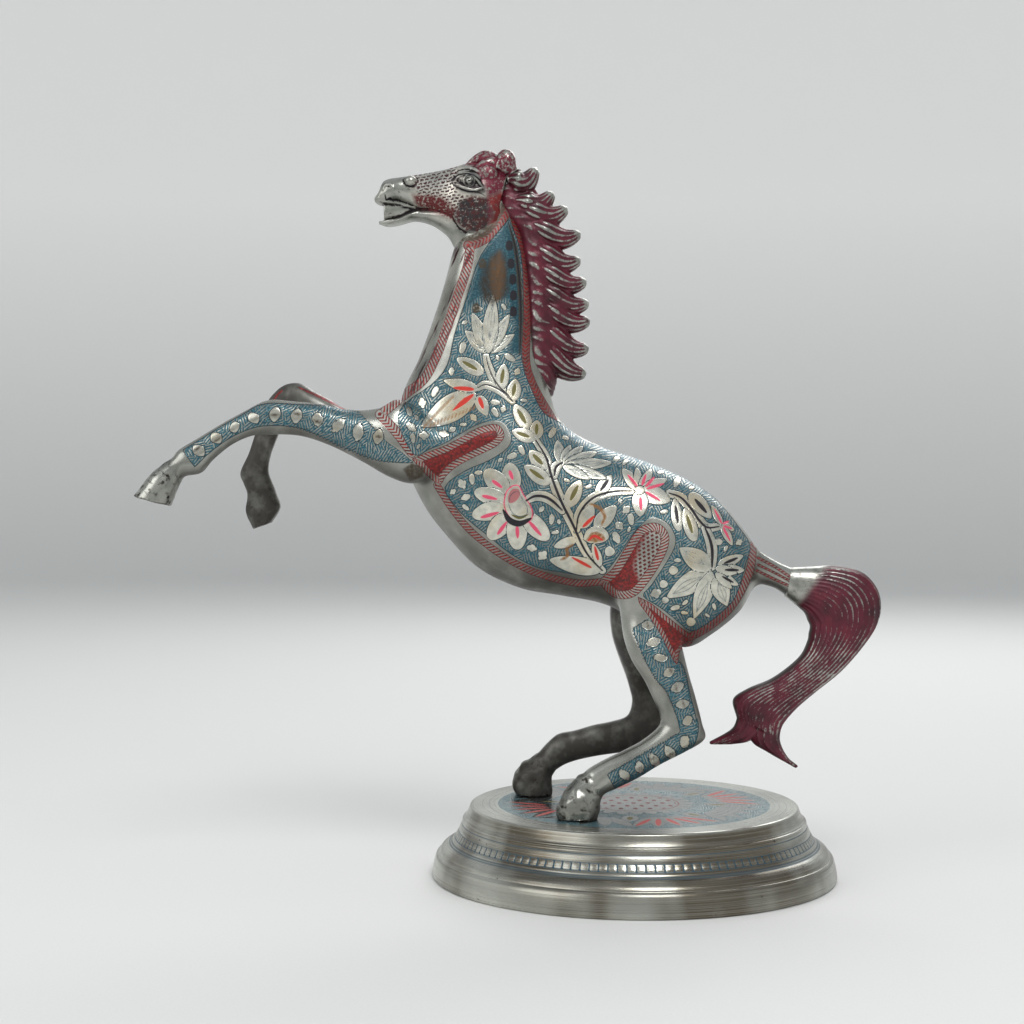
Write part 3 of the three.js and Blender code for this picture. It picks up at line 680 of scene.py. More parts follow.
PINK_FLOWER_STREAKS = [
    ((250, 290), (206, 236)), ((270, 285), (288, 234)), ((285, 292), (326, 246)), ((290, 300), (368, 276)),
    ((285, 312), (352, 352)), ((264, 335), (266, 396)),
]
RUMP_FLOWER_PETALS = [
    ((572, 655), (374, 776), 46),
    ((572, 650), (432, 556), 46),
    ((575, 660), (496, 868), 40),
    ((590, 680), (642, 812), 40),
    ((590, 645), (688, 668), 22),
    ((590, 665), (664, 736), 20),
]
STAR_STREAKS = [
    ((618, 452), (584, 386)), ((622, 452), (650, 440)), ((624, 460), (664, 474)), ((622, 465), (656, 530)),
]
STAR_PETALS = [((618, 455), (574, 372), 16), ((618, 455), (672, 480), 16), ((620, 460), (664, 546), 18)]
BUD_PETALS = [((1170, 1150), (1236, 1012), 42), ((1250, 1150), (1372, 1020), 46)]
FAN = [(1180, 1215), (1200, 1165), (1250, 1140), (1310, 1160), (1330, 1205), (1290, 1235), (1225, 1240)]
FAN_HEART = [(1195, 1222), (1225, 1178), (1260, 1170), (1300, 1190), (1312, 1220), (1250, 1235)]
FOOT_LEAVES = [
    ((1285, 1395), (985, 1335), 52), ((1140, 1215), (1010, 1262), 30), ((1280, 1370), (1236, 1240), 26),
]
FOOT_STREAKS = [((1230, 1382), (1110, 1318)), ((1268, 1340), (1246, 1252))]
KIDNEY = [
    (770, 905), (805, 905), (835, 960), (880, 1035), (880, 1095), (830, 1125), (760, 1095), (722, 1020),
    (735, 940),
]
# Round spots on the rump: their middle and radius
RUMP_SPOTS = [
    (408, 655, 20), (365, 715, 18), (372, 785, 15), (484, 880, 20), (130, 573, 22), (607, 530, 15),
]
PINK_FLOWER_HEART = (264, 305, 20)

# Share of a leaf's width that its vein takes
VEIN_SHARE = 0.29

# Stems: the line they follow and the half-width of their dark core
SIDE_STEMS = [
    ([(615, 150), (628, 205), (655, 275), (695, 332), (742, 376), (775, 418)], 5),
    ([(905, 640), (965, 740), (1000, 860), (1050, 990), (1120, 1130), (1185, 1270), (1235, 1340),
      (1292, 1398)], 8),
    ([(1055, 770), (1022, 798), (1014, 845)], 8),
    ([(848, 992), (900, 965), (960, 970), (1010, 1000), (1058, 1048)], 9),
    ([(1142, 1160), (1150, 1090), (1182, 1028), (1235, 978), (1300, 950), (1380, 936), (1462, 935)], 7),
    ([(560, 340), (610, 318), (670, 335), (725, 370), (770, 415)], 5),
]
RUMP_STEMS = [
    ([(388, 318), (440, 338), (484, 386), (522, 440), (556, 468), (606, 464)], 6),
    ([(545, 470), (566, 520), (576, 570), (575, 640)], 7),
]
STEM_CASING = 4.8

# Borders of slanted ticks: sheet, line, half-width in pixels, tone and whether the ticks are chevrons
BORDERS = [
    (NECK, [(590, 600), (570, 720), (510, 900), (455, 1060), (400, 1210), (330, 1340), (230, 1420),
            (110, 1520)], 4.4, 0.0, False),
    (NECK, [(812, 340), (870, 540), (900, 700), (905, 900), (900, 1100), (900, 1260), (950, 1400),
            (1050, 1570)], 4.6, 0.8, True),
    (NECK, [(580, 590), (650, 562), (712, 518), (772, 432), (808, 342)], 5.2, 0.7, True),
    (SIDE, [(330, 900), (420, 1040), (520, 1160), (640, 1260), (760, 1340), (880, 1400), (1000, 1440),
            (1150, 1470), (1290, 1462)], 3.2, 0.15, False),
    (RUMP, [(752, 545), (744, 640), (704, 740), (644, 830), (562, 900), (490, 940)], 3.8, 0.3, False),
    (SIDE, [(0, 490), (100, 600), (185, 712)], 4.6, 0.0, True),
    (RUMP, [(775, 600), (850, 640), (925, 690)], 1.2, 0.5, False),
    (RUMP, [(775, 630), (845, 664), (915, 702)], 1.0, 0.5, False),
    (RUMP, [(770, 655), (840, 690), (905, 720)], 1.2, 0.5, False),
]

# Small silver leaves of up to three lobes scattered over the ground below this row, the large ones first,
# each tried once in each cell, with their smallest and largest half-length
SCATTER_TOP = 305
SCATTER_CELL = 4.6
SCATTER_SIZES = [(4.8, 6.4), (4.4, 6.2), (3.4, 4.6), (2.8, 4.2)]
SCATTER_GAP = 1.4
SCATTER_SEED = 11


def draw_leaves(drawing, sheet, leaves):
    """Leaves with a vein of pigment from a quarter to three quarters of their length."""
    for base, tip, half, pigment in leaves:
        start, end = sheet.at(base), sheet.at(tip)
        drawing.leaf("leaf", start, end, sheet.size(half), 0.6)
        vein = [start + (end - start) * share for share in (0.26, 0.5, 0.76)]
        drawing.stroke(pigment, vein, sheet.size(half) * VEIN_SHARE, 0.5)


def draw_petals(drawing, sheet, petals, round_end=0.6):
    for base, tip, half in petals:
        drawing.leaf("leaf", sheet.at(base), sheet.at(tip), sheet.size(half), round_end)


def draw_streaks(drawing, sheet, pigment, streaks, half):
    for start, end in streaks:
        drawing.leaf(pigment, sheet.at(start), sheet.at(end), half, 0.5, 0.0)


def draw_spots(drawing, sheet, spots):
    for x, y, radius in spots:
        drawing.leaf("leaf", sheet.at((x - radius, y)), sheet.at((x + radius, y)), sheet.size(radius), 0.5)


def draw_fine_lines(drawing, sheet, petals, half=0.3):
    """Engraved lines that fan out inside each petal."""
    for base, tip, width in petals:
        start, axis = sheet.at(base), sheet.at(tip) - sheet.at(base)
        aside = np.array([-axis[1], axis[0]])
        aside *= sheet.size(width) / np.linalg.norm(aside)
        for turn in (-0.4, 0.0, 0.4):
            middle = start + axis * 0.55 + aside * turn
            drawing.stroke("line", [start + axis * 0.2, middle, start + axis * 0.86], half, 0.6)


def draw_stems(drawing, sheet, stems):
    for path, half in stems:
        drawing.stroke("leaf", sheet.at(*path), sheet.size(half) + STEM_CASING - 1, 0.3, drawing.OUTLINE)
    for path, half in stems:
        drawing.stroke("black", sheet.at(*path), sheet.size(half), 0.45)


def draw_daisy(drawing):
    """The big flower with a kidney-shaped heart."""
    draw_petals(drawing, SIDE, DAISY_PETALS, 0.42)
    draw_streaks(drawing, SIDE, "pink", DAISY_STREAKS, 1.9)
    kidney = SIDE.at(*KIDNEY)
    drawing.region("leaf", spline(closed(kidney), 5), over=drawing.OUTLINE)
    drawing.stroke("pink", closed(kidney), 0.7)
    inner = kidney.mean(axis=0) + (kidney - kidney.mean(axis=0)) * 0.66
    drawing.stroke("line", closed(inner), 0.4)
    drawing.stroke("black", SIDE.at((716, 1046), (752, 1104), (812, 1124), (876, 1094)), 3.2, 0.7)
    drawing.leaf("rose", SIDE.at((800, 924)), SIDE.at((752, 1004)), 5.4, 0.5, 0.0)
    drawing.stroke("olive", SIDE.at((762, 1072), (810, 1090), (860, 1072)), 1.5, 0.7)


def draw_buds(drawing):
    """The bud, the orange fan and the white leaves at the foot of the main stem."""
    draw_petals(drawing, SIDE, BUD_PETALS)
    draw_streaks(drawing, SIDE, "red", [((1176, 1146), (1250, 1076))], 1.8)
    drawing.stroke("ochre", SIDE.at((1225, 1012), (1275, 1035), (1305, 1080), (1288, 1130)), 1.9, 0.5)
    drawing.region("leaf", spline(closed(SIDE.at(*FAN)), 5), over=drawing.OUTLINE)
    drawing.region("ochre", SIDE.at(*FAN_HEART))
    drawing.stroke("red", SIDE.at((1210, 1222), (1245, 1196), (1292, 1220)), 1.5, 0.4)
    draw_petals(drawing, SIDE, FOOT_LEAVES)
    draw_streaks(drawing, SIDE, "red", FOOT_STREAKS, 1.6)
    drawing.stroke("ochre", SIDE.at((1052, 1335), (1090, 1310), (1085, 1270), (1118, 1248)), 1.7, 0.4)


def draw_tulip(drawing):
    draw_petals(drawing, SIDE, TULIP_PETALS[::-1], 0.75)
    draw_streaks(drawing, SIDE, "red", TULIP_STREAKS, 2.2)
    drawing.leaf("red", SIDE.at((545, 372)), SIDE.at((420, 470)), 2.4, 0.6, 0.0)
    for start, end in (((430, 375), (265, 545)), ((550, 440), (300, 540))):
        base, tip = SIDE.at(start), SIDE.at(end)
        for share in np.linspace(0, 1, 13):
            root = base + (tip - base) * share
            drawing.stroke("ochre", [root, root + [-0.8, 2.1], root + [-1.8, 4.4]], 0.85, 0.5)


def draw_neck(drawing):
    """The palmette, the tarnished leaf above it and the dark squares down the edge."""
    drawing.region("solid", NECK.at(*NECK_SOLID))
    # Painted shade: a dark band beside the mane, and a brown band under the jaw
    drawing.stroke("brown", NECK.at(*MANE_SIDE_SHADE), 2.6, 0.7)
    drawing.stroke("black", NECK.at(*MANE_SIDE_SHADE), 1.0, 0.6)
    drawing.stroke("brown", NECK.at(*JAW_SHADE), 4.6, 0.6)
    draw_petals(drawing, NECK, PALMETTE_LEAVES, 0.75)
    draw_fine_lines(drawing, NECK, PALMETTE_LEAVES)
    drawing.region("umber", NECK.at(*NECK_TARNISH))
    for tip, half in (((716, 665), 20), ((752, 632), 26), ((772, 690), 18)):
        drawing.leaf("amber", NECK.at((742, 892)), NECK.at(tip), NECK.size(half), 0.8, 0.0)
    for x, y in ((808, 590), (818, 690), (828, 780), (832, 870), (832, 960)):
        drawing.leaf("black", NECK.at((x, y + 28)), NECK.at((x, y - 28)), NECK.size(20), 0.25, 0.0)
    for x, y in ((658, 692), (622, 940)):
        drawing.leaf("brown", NECK.at((x, y + 30)), NECK.at((x, y - 30)), NECK.size(22), 0.4, 0.0)


def draw_rump(drawing):
    draw_leaves(drawing, RUMP, RUMP_LEAVES)
    draw_petals(drawing, RUMP, PINK_FLOWER_PETALS)
    draw_streaks(drawing, RUMP, "pink", PINK_FLOWER_STREAKS, 1.6)
    draw_spots(drawing, RUMP, [PINK_FLOWER_HEART])
    draw_petals(drawing, RUMP, RUMP_FLOWER_PETALS, 0.85)
    draw_fine_lines(drawing, RUMP, RUMP_FLOWER_PETALS[:4])
    draw_petals(drawing, RUMP, STAR_PETALS)
    draw_streaks(drawing, RUMP, "pink", STAR_STREAKS, 1.3)
    draw_spots(drawing, RUMP, RUMP_SPOTS)


def scatter(drawing, draws, sizes):
    """Small leaves of one range of sizes where the ground is clear of other leaves."""
    low, high = np.min(PANEL, axis=0), np.max(PANEL, axis=0)
    ground, leaf, black = (drawing.field(name) for name in ("ground", "leaf", "black"))
    for row in np.arange(SCATTER_TOP, high[1], SCATTER_CELL):
        for column in np.arange(low[0], high[0], SCATTER_CELL):
            centre = np.array([column, row]) + draws.uniform(0, SCATTER_CELL, 2)
            size = draws.uniform(*sizes)
            turn = draws.uniform(0, np.pi)
            bulge = draws.uniform(-0.9, 0.9)
            where = drawing.near(centre[None], 1.2)
            clear = size + SCATTER_GAP
            if len(where) == 0 or ground[where].max() > -clear:
                continue
            if min(leaf[where].min(), black[where].min()) < clear:
                continue
            reach = size * np.array([np.cos(turn), np.sin(turn)])
            aside = np.array([-reach[1], reach[0]]) * bulge
            drawing.leaf("leaf", centre - reach, centre + reach, size * 0.55, 0.4)
            drawing.leaf("leaf", centre - aside * 0.2, centre + aside, size * 0.5, 0.4, 0.0)
            back = centre - reach * 0.3 - aside * 0.9
            drawing.leaf("leaf", centre + reach * 0.5, back, size * 0.4, 0.4, 0.0)


def draw_body(points):
    """All the ornament of the torso and of the lobes on it."""
    drawing = Drawing(points)
    drawing.region("ground", spline(closed(PANEL), 3), 40)
    drawing.region("streaks", np.array(NECK_FRONT, float))
    draw_stems(drawing, SIDE, SIDE_STEMS)
    draw_stems(drawing, RUMP, RUMP_STEMS)
    draw_leaves(drawing, SIDE, SIDE_LEAVES)
    draw_petals(drawing, SIDE, LOTUS_PETALS)
    draw_fine_lines(drawing, SIDE, LOTUS_PETALS)
    draw_daisy(drawing)
    draw_buds(drawing)
    draw_tulip(drawing)
    draw_neck(drawing)
    draw_rump(drawing)
    draws = np.random.default_rng(SCATTER_SEED)
    for sizes in SCATTER_SIZES:
        scatter(drawing, draws, sizes)
    drawing.region("brown", np.array(BRAZE_PATCH, float))
    for sheet, path, half, tone, chevron in BORDERS:
        drawing.rope_along(sheet.at(*path), half, tone, chevron)
    drawing.region("cuts", np.array(LOBE_CUTS, float))
    for outline, border, tone in ((SHOULDER_LOBE, 6.5, 0.0), (THIGH_LOBE, 8.0, 0.0), (THIGH_WEDGE, 4.5, 0.3)):
        smooth = spline(closed(outline), 4)
        drawing.region("lobe", smooth)
        drawing.rope_inside(smooth, border, tone)
    return drawing


# Strips of enamel down the outer face of each leg, with a row of silver ovals.
# Each is the range across the leg, the places along it in millimetres, how much further down the upper
# edge starts, how far across it leans at the top, and the step and half-size of the ovals.
FORE_STRIP = {"across": (-0.5, 0.78), "along": (18.0, 105.0), "slant": 20.0, "lean": 0.0, "step": 8.6,
              "oval": (2.3, 2.9)}
HIND_STRIP = {"across": (-0.6, 0.17), "along": (5.0, 88.0), "slant": 9.0, "lean": 0.42, "step": 6.7,
              "oval": (1.9, 2.3)}
LEAN_LENGTH = 34.0
# How square the ovals are, and the share of an oval that its dark slit takes; the slit is painted shade
OVAL_POWER = 1.5
SLIT_SHARE = 0.2

# Dark red lines along the upper edge of the inner face of the far foreleg, as [x, z], with how far
# aside that face is and the half-width of the lines in pixels
EDGE_LINES = [
    [(-141.2, 174.5), (-133.5, 171.1), (-126.7, 167.7), (-121.2, 164.7)],
    [(-148.0, 173.2), (-149.9, 171.5), (-151.4, 169.4)],
]
EDGE_LINE_ASIDE = 14.0
EDGE_LINE_HALF = 1.3


def leg_place(ribs, vertices):
    """How far along a leg each vertex is, and across it from -1 at the second outline to 1 at the first."""
    fine = spline(np.array([rib[:4] for rib in ribs], float), 8)
    first, second = fine[:, :2], fine[:, 2:]
    centre, reach = (first + second) / 2, np.linalg.norm(first - second, axis=1) / 2
    steps = np.linalg.norm(np.diff(centre, axis=0), axis=1)
    along = np.concatenate([[0], np.cumsum(steps)])
    heading = unit_rows(np.gradient(centre, axis=0))
    flat = vertices[:, [0, 2]]
    nearest = ((flat[:, None] - centre[None]) ** 2).sum(axis=-1).argmin(axis=1)
    offset = flat - centre[nearest]
    width = reach[nearest]
    across = np.einsum("ij,ij->i", offset, (first - second)[nearest]) / (2 * width**2)
    place = along[nearest] + np.einsum("ij,ij->i", offset, heading[nearest])
    return place, across, width, along[-1]


def draw_strip(drawing, where, strip, place, across, width):
    """The strip's ground and ovals, in pixels, on the vertices of one leg that face outwards."""
    low, high = strip["across"]
    start, end = strip["along"]
    pixel = PIXEL_AT_AXIS
    lean = strip["lean"] * np.clip(1 - place / LEAN_LENGTH, 0, 1)
    level = (across - (low + high) / 2 - lean) * width
    edges = np.abs(level) - (high - low) / 2 * width
    ends = np.maximum(start + strip["slant"] * across - place, place - end)
    drawing.stamp("ground", where, np.maximum(edges, ends) / pixel)
    step = strip["step"]
    long, tall = strip["oval"]
    number = np.round((place - start) / step - 0.5)
    inside = (number >= 0) & (number < np.floor((end - start) / step))
    shift = place - start - (number + 0.5) * step
    tilt = 0.25 * np.sin(number * 2.4)
    scale = np.minimum(1, width * (high - low) / 2 / (tall * 1.25))
    scale *= 1 + 0.14 * np.sin(number * 1.7)
    long_share = np.abs(shift - tilt * level) / long
    tall_share = np.abs(level) / (tall * scale)
    oval = (long_share**OVAL_POWER + tall_share**OVAL_POWER) ** (1 / OVAL_POWER) - 1
    drawing.stamp("leaf", where, np.where(inside, oval * long / pixel, drawing.FAR))
    # Each oval's dark slit, drawn in brown, is painted shade
    off_middle = level / tall - 0.3 * np.sin(number * 3.7)
    slit = np.hypot((shift - tilt * level) / (0.75 * long), off_middle / SLIT_SHARE) - 1
    slitted = inside & (np.sin(number * 5.1) > -0.3)
    drawing.stamp("brown", where, np.where(slitted, slit * SLIT_SHARE * tall / pixel, drawing.FAR))


def draw_edge_lines(drawing, where):
    """Dark red lines on the chosen vertices of one leg."""
    face = Drawing(drawing.points[where])
    for line in EDGE_LINES:
        path = np.array([(x, EDGE_LINE_ASIDE, z) for x, z in line])
        face.stroke("lobe", photo_points(path), EDGE_LINE_HALF, 0.5)
    drawing.stamp("lobe", where, face.field("lobe"))


# Horse: torso and legs as one skin, then parted into the castings
LEGS = {
    "left_foreleg": (LEFT_FORELEG_RIBS, FORELEG_LOBE_RIBS, FORE_STRIP),
    "right_foreleg": (RIGHT_FORELEG_RIBS, FORELEG_LOBE_RIBS, FORE_STRIP),
    "left_hind_leg": (LEFT_HIND_RIBS, HIND_LOBE_RIBS, HIND_STRIP),
    "right_hind_leg": (RIGHT_HIND_RIBS, HIND_LOBE_RIBS, HIND_STRIP),
}
SEAM_STAND_OFF = 0.3
JOINT_BLEND = 4.0
HOOF_LENGTH = 15.0
HIND_HOOF_LUMPS = 0.55
FORE_HOOF_LUMPS = 0.12
LEAF_RELIEF = 0.1
# Darker, duller silver: partly unpolished metal and partly painted shade, on the underside, on the inner
# faces of the legs and at the back of the hind legs
UNDERSIDE_SHADE_AND_DULL = 0.78
INNER_SHADE_AND_DULL = 0.95
UPPER_ARM_SHADE_AND_DULL = 0.25


def on_circle(radius, turn):
    return np.array([radius * math.cos(turn), radius * math.sin(turn)])


def ramp(values, low, high):
    """0 below low, 1 above high and smooth between."""
    share = np.clip((values - low) / (high - low), 0, 1)
    return share * share * (3 - 2 * share)


def leg_form(ribs, lobe):
    side = math.copysign(1, ribs[0][5])
    roots = [[*rib[:5], side * abs(rib[5])] for rib in lobe]
    return rib_loft(roots + ribs[1:], 56, 10, 0.92)


def stand_off(part, points, where):
    """How far the chosen points stand off a form; 0 for the others."""
    vertices, faces = part
    tree = BVHTree.FromPolygons(vertices.tolist(), faces)
    distance = np.zeros(len(points))
    distance[where] = [tree.find_nearest(point)[3] for point in points[where].tolist()]
    return distance


def leg_zones(points):
    """Which points lie about the forelegs and which about the hind legs."""
    x, _, z = points.T
    fore = (x < -52) & (z < np.where(x < -110, 190, 172))
    hind = (x < 35) & (x > -52) & (z < 122)
    return fore, hind


def make_skin():
    torso = rib_loft(TORSO_RIBS, 96, 12, 0.92)
    legs = [leg_form(ribs, lobe) for ribs, lobe, _ in LEGS.values()]
    skin = sculpted([torso, *legs], SKIN_CELL, 6)
    zones = np.logical_or(*leg_zones(skin.vertices))
    off = stand_off(torso, skin.vertices, zones)
    leg_off = stand_off(joined(legs), skin.vertices, zones)
    near_joint = zones * np.exp(-(off**2 + leg_off**2) / JOINT_BLEND**2)
    skin.smooth(60, 0.5, -0.1, near_joint[:, None])
    return skin, stand_off(torso, skin.vertices, zones)


def part_skin(skin, off):
    """Faces of each casting: a leg is what stands off the torso, and the torso parts down its middle."""
    middle = skin.vertices[skin.faces].mean(axis=1)
    stands = off[skin.faces].mean(axis=1) > SEAM_STAND_OFF
    left = middle[:, 1] < 0
    fore, hind = (stands & zone for zone in leg_zones(middle))
    torso = ~(fore | hind)
    return {
        "torso_left_shell": torso & left,
        "torso_right_shell": torso & ~left,
        "left_foreleg": fore & left,
        "right_foreleg": fore & ~left,
        "left_hind_leg": hind & left,
        "right_hind_leg": hind & ~left,
    }


def skin_fields(skin, castings):
    """Ornament, finish and painted shade over the whole skin, and the relief of the engraving and of the
    hooves.
    """
    normals = skin.normals()
    drawing = draw_body(photo_points(skin.vertices))
    # Painted shade, with a duller finish, on faces that look down
    dull = UNDERSIDE_SHADE_AND_DULL * ramp(-normals[:, 2], 0.0, 0.9)
    pitted = np.zeros(len(skin.vertices))
    lumpy = np.zeros(len(skin.vertices))
    for name, (ribs, _, strip) in LEGS.items():
        where = np.unique(skin.faces[castings[name]])
        place, across, width, length = leg_place(ribs, skin.vertices[where])
        outward = normals[where, 1] * math.copysign(1, ribs[0][5])
        inner = where[outward < -0.05]
        for field in drawing.fields.values():
            field[inner] = drawing.FAR
        facing = outward > 0.05
        below_lobe = np.minimum(drawing.field("lobe")[where], drawing.field("border")[where]) > 0
        drawn = facing & below_lobe
        draw_strip(drawing, where[drawn], strip, place[drawn], across[drawn], width[drawn])
        hind = "hind" in name
        if name == "right_foreleg":
            draw_edge_lines(drawing, where[outward < 0.2])
        # Painted shade, with a duller finish, at the back of the hind legs and on the inner faces of the legs
        behind = ramp(-across, 0.45, 0.75) * hind
        below_elbow = np.maximum(hind, ramp(place, 45, 70))
        inside = UPPER_ARM_SHADE_AND_DULL + (INNER_SHADE_AND_DULL - UPPER_ARM_SHADE_AND_DULL) * below_elbow
        dull[where] = np.maximum(dull[where], np.maximum(0.6 * behind, inside * ramp(-outward, 0.0, 0.35)))
        pitted[where] = ramp(place, length - HOOF_LENGTH - 3, length - HOOF_LENGTH)
        lumpy[where] = pitted[where] * (HIND_HOOF_LUMPS if hind else FORE_HOOF_LUMPS)
    raised = LEAF_RELIEF * ramp(-drawing.field("leaf"), -0.6, 0.6)
    sunk = LEAF_RELIEF * ramp(-drawing.field("ground"), -0.6, 0.6)
    raised += lumpy * skin.lumps(26, 5)
    skin.vertices += normals * (raised - sunk)[:, None]
    return drawing.all_fields(rope=drawing.rope, dull=dull, pitted=pitted)


# Head: eyelids, eye, brow, lips and nostril laid on its side as [x, z] lines with a thickness at each point
HEAD_LINES = {
    "upper lid": [
        (-74.6, 258.6, 0.3), (-72.2, 260.7, 0.6), (-69.2, 261.3, 0.7), (-66.2, 259.8, 0.6),
        (-62.8, 255.6, 0.3)],
    "lower lid": [
        (-74.6, 258.6, 0.3), (-72.6, 256.4, 0.45), (-69.8, 255.2, 0.55), (-66.4, 254.6, 0.5),
        (-62.8, 255.6, 0.3)],
    "brow": [
        (-76.5, 261.4, 0.3), (-73, 263.6, 0.7), (-69, 264.2, 0.8), (-65.4, 262.8, 0.7), (-62.6, 259.6, 0.4)],
    "nostril": [(-104.4, 255.2, 0.3), (-103.4, 257.3, 0.55), (-101.2, 257.4, 0.6), (-100.2, 255.6, 0.4)],
    "upper lip": [
        (-106.8, 252.4, 0.6), (-103.6, 251.0, 0.8), (-98.5, 250.6, 0.8), (-93, 249.0, 0.7),
        (-89, 247.6, 0.4)],
    "lower lip": [
        (-105.6, 242.2, 0.5), (-102, 242.7, 0.6), (-98, 243.0, 0.6), (-93.5, 244.9, 0.6),
        (-89.4, 246.6, 0.4)],
    "jaw": [
        (-75.2, 244.6, 0.4), (-72, 239.8, 0.6), (-66.2, 237.5, 0.7), (-60.6, 238.8, 0.7), (-57.2, 243, 0.4)],
}
EYE_CENTRE = (-68.7, 258.3)
EYE_RING = 2.0
EYE_RING_THICKNESS = 0.4
PUPIL = 1.1
# Dark lines about the eye, nostril and mouth, with their half-widths in pixels and their taper;
# the line below the eye is a painted shadow under the lower lid
DARK_LINES = [
    ([(478, 232), (505, 205), (550, 190), (600, 193), (640, 222), (662, 258)], 0.8, 0.5),
    # Painted shadow under the lower lid
    ([(484, 240), (520, 268), (570, 286), (630, 292), (672, 312)], 0.8, 0.5),
    ([(556, 228), (566, 204), (586, 198), (606, 212), (608, 238), (590, 254), (566, 250),
      (556, 228)], 0.55, 0.5),
    ([(502, 228), (516, 214), (534, 222), (532, 240), (514, 244), (502, 228)], 0.45, 0.5),
    ([(578, 226), (590, 226)], 0.8, 0.5),
    ([(112, 306), (120, 335), (140, 325), (160, 345)], 0.9, 0.4),
    ([(290, 392), (250, 385), (200, 378)], 0.5, 0.5),
]
# Outlines of the places with a finish of their own
HEAD_ZONES = {
    "cheek": [
        (500, 410), (530, 340), (600, 312), (700, 325), (715, 400), (700, 465), (650, 524), (560, 510),
        (508, 458)],
    "dashes": [
        (270, 190), (520, 130), (520, 300), (660, 325), (640, 400), (540, 470), (430, 420), (300, 340)],
    "blush": [(265, 305), (420, 312), (510, 380), (490, 445), (420, 415), (350, 395), (285, 368)],
    "poll": [(540, 130), (620, 150), (660, 220), (690, 330), (700, 520), (840, 480), (860, 40), (600, 40)],
    "jowl": [(690, 320), (760, 290), (815, 320), (780, 440), (725, 510), (680, 520), (715, 420)],
}
# Locks of the forelock and of the ears: [x, sideways, z, thickness] along each
FORELOCK_CURLS = [
    [(-58, 1.5, 268.8, 2.3), (-62, 2.4, 269.8, 2.5), (-66, 3.0, 268.0, 2.1), (-69.5, 3.4, 265.6, 1.2)],
    [(-56, 5.0, 265.8, 2.3), (-60, 5.8, 266.4, 2.5), (-63.6, 6.4, 264.8, 2.1), (-66.6, 7.0, 262.6, 1.2)],
    [(-50.5, 4.8, 262.8, 2.3), (-52.6, 5.8, 266.2, 2.7), (-55.4, 6.2, 266.8, 2.5), (-57, 6.8, 263.8, 1.6)],
]


def laid_on(tree, line):
    """A tube along a line laid on the left side of a form."""
    points = []
    for x, z, _ in line:
        hit = tree.ray_cast((x, -50, z), (0, 1, 0))[0]
        points.append([x, hit.y if hit else 0.0, z])
    return tube(points, [thick for _, _, thick in line])


def make_head():
    form = [rib_loft(HEAD_RIBS, 56, 12, 0.9), rib_loft(JAW_RIBS, 40, 12), rib_loft(MOUTH_RIBS, 24, 12)]
    form += both_sides([ellipsoid(*feature) for feature in (CHEEK, EYE_SOCKET, TEMPLE, NOSTRIL, EAR)])
    form.append(ellipsoid(*FORELOCK))
    tree = BVHTree.FromPolygons(*(list(map(list, side)) for side in joined(form)))
    details = [laid_on(tree, line) for line in HEAD_LINES.values()]
    eye_x, eye_z = EYE_CENTRE
    rim = [on_circle(EYE_RING, turn) + EYE_CENTRE for turn in np.linspace(0, 2 * np.pi, 17)]
    details.append(laid_on(tree, [(x, z, EYE_RING_THICKNESS) for x, z in rim]))
    surface = tree.ray_cast((eye_x, -50, eye_z), (0, 1, 0))[0].y
    details.append(ellipsoid(eye_x, surface, eye_z, PUPIL, 0.8, PUPIL))
    for curl in FORELOCK_CURLS:
        details.append(tube([(x, -side, z) for x, side, z, _ in curl], [thick for *_, thick in curl]))
    return sculpted(form + both_sides(details), HEAD_CELL, 2)


def head_fields(head):
    """Where the head is dashed, blushed, dark on the cheek and lacquered at the poll."""
    drawing = Drawing(photo_points(head.vertices))
    for name, outline in HEAD_ZONES.items():
        drawing.region(name, NECK.at(*outline))
    drawing.leaf("eye", NECK.at((484, 222)), NECK.at((676, 290)), NECK.size(42), 0.6, 0.0)
    for path, half, taper in DARK_LINES:
        drawing.stroke("black", NECK.at(*path), half, taper)
    return drawing.all_fields(crest=head.crest(8))


# Mane: locks that rise beside the border, sweep back and flick up at the tip.
# For each tip, the way from it to its root.
LOCK_ROOTS = [
    [-12, -6], [-17, -5], [-22, 0], [-24, 4], [-23, 6], [-24, 7], [-25, 8], [-25, 9], [-25, 12], [-24, 16],
]
MANE_STRANDS = 20
MANE_SWEEP = 13.0
MANE_STRAND_RISE = 0.17
LOCK_SAG = 4.0
LOCK_HEIGHT = 4.6
LOCK_WIDTH = 11.5
LOCK_TIP = 1.8
LOCK_ROOT = 0.5
LOCK_STRANDS = 13
LOCK_STRAND_RISE = 0.3
LOCK_WEAR = 0.3


def lock(tip, root):
    tip, root = np.array(tip, float), np.array(root, float)
    share = np.linspace(0, 1, 26)[:, None]
    sag = LOCK_SAG * np.sin(np.pi * share**1.5)
    path = tip + root * (1 - share) - sag * [0, 1]
    heading = unit_rows(np.gradient(path, axis=0))
    above = np.column_stack([-heading[:, 1], heading[:, 0]])
    rounded = np.sqrt(np.clip(1 - np.clip((share - 0.93) / 0.07, 0, 1) ** 2, 0.02, 1))
    rounded *= LOCK_ROOT + (1 - LOCK_ROOT) * ramp(share, 0, 0.45)
    height = rounded * (LOCK_HEIGHT * (1 - share**2.4) + LOCK_TIP)
    width = rounded * (LOCK_WIDTH * (1 - share**1.2) + LOCK_TIP)
    ribs = np.hstack([path + above * height, path - above * height, width])

    def strands(along, angle):
        return LOCK_STRAND_RISE * np.cos(LOCK_STRANDS * angle) * (1 - along) ** 0.4 * ramp(along, 0.0, 0.12)

    return rib_loft(ribs.tolist(), 180, 2, relief=strands)


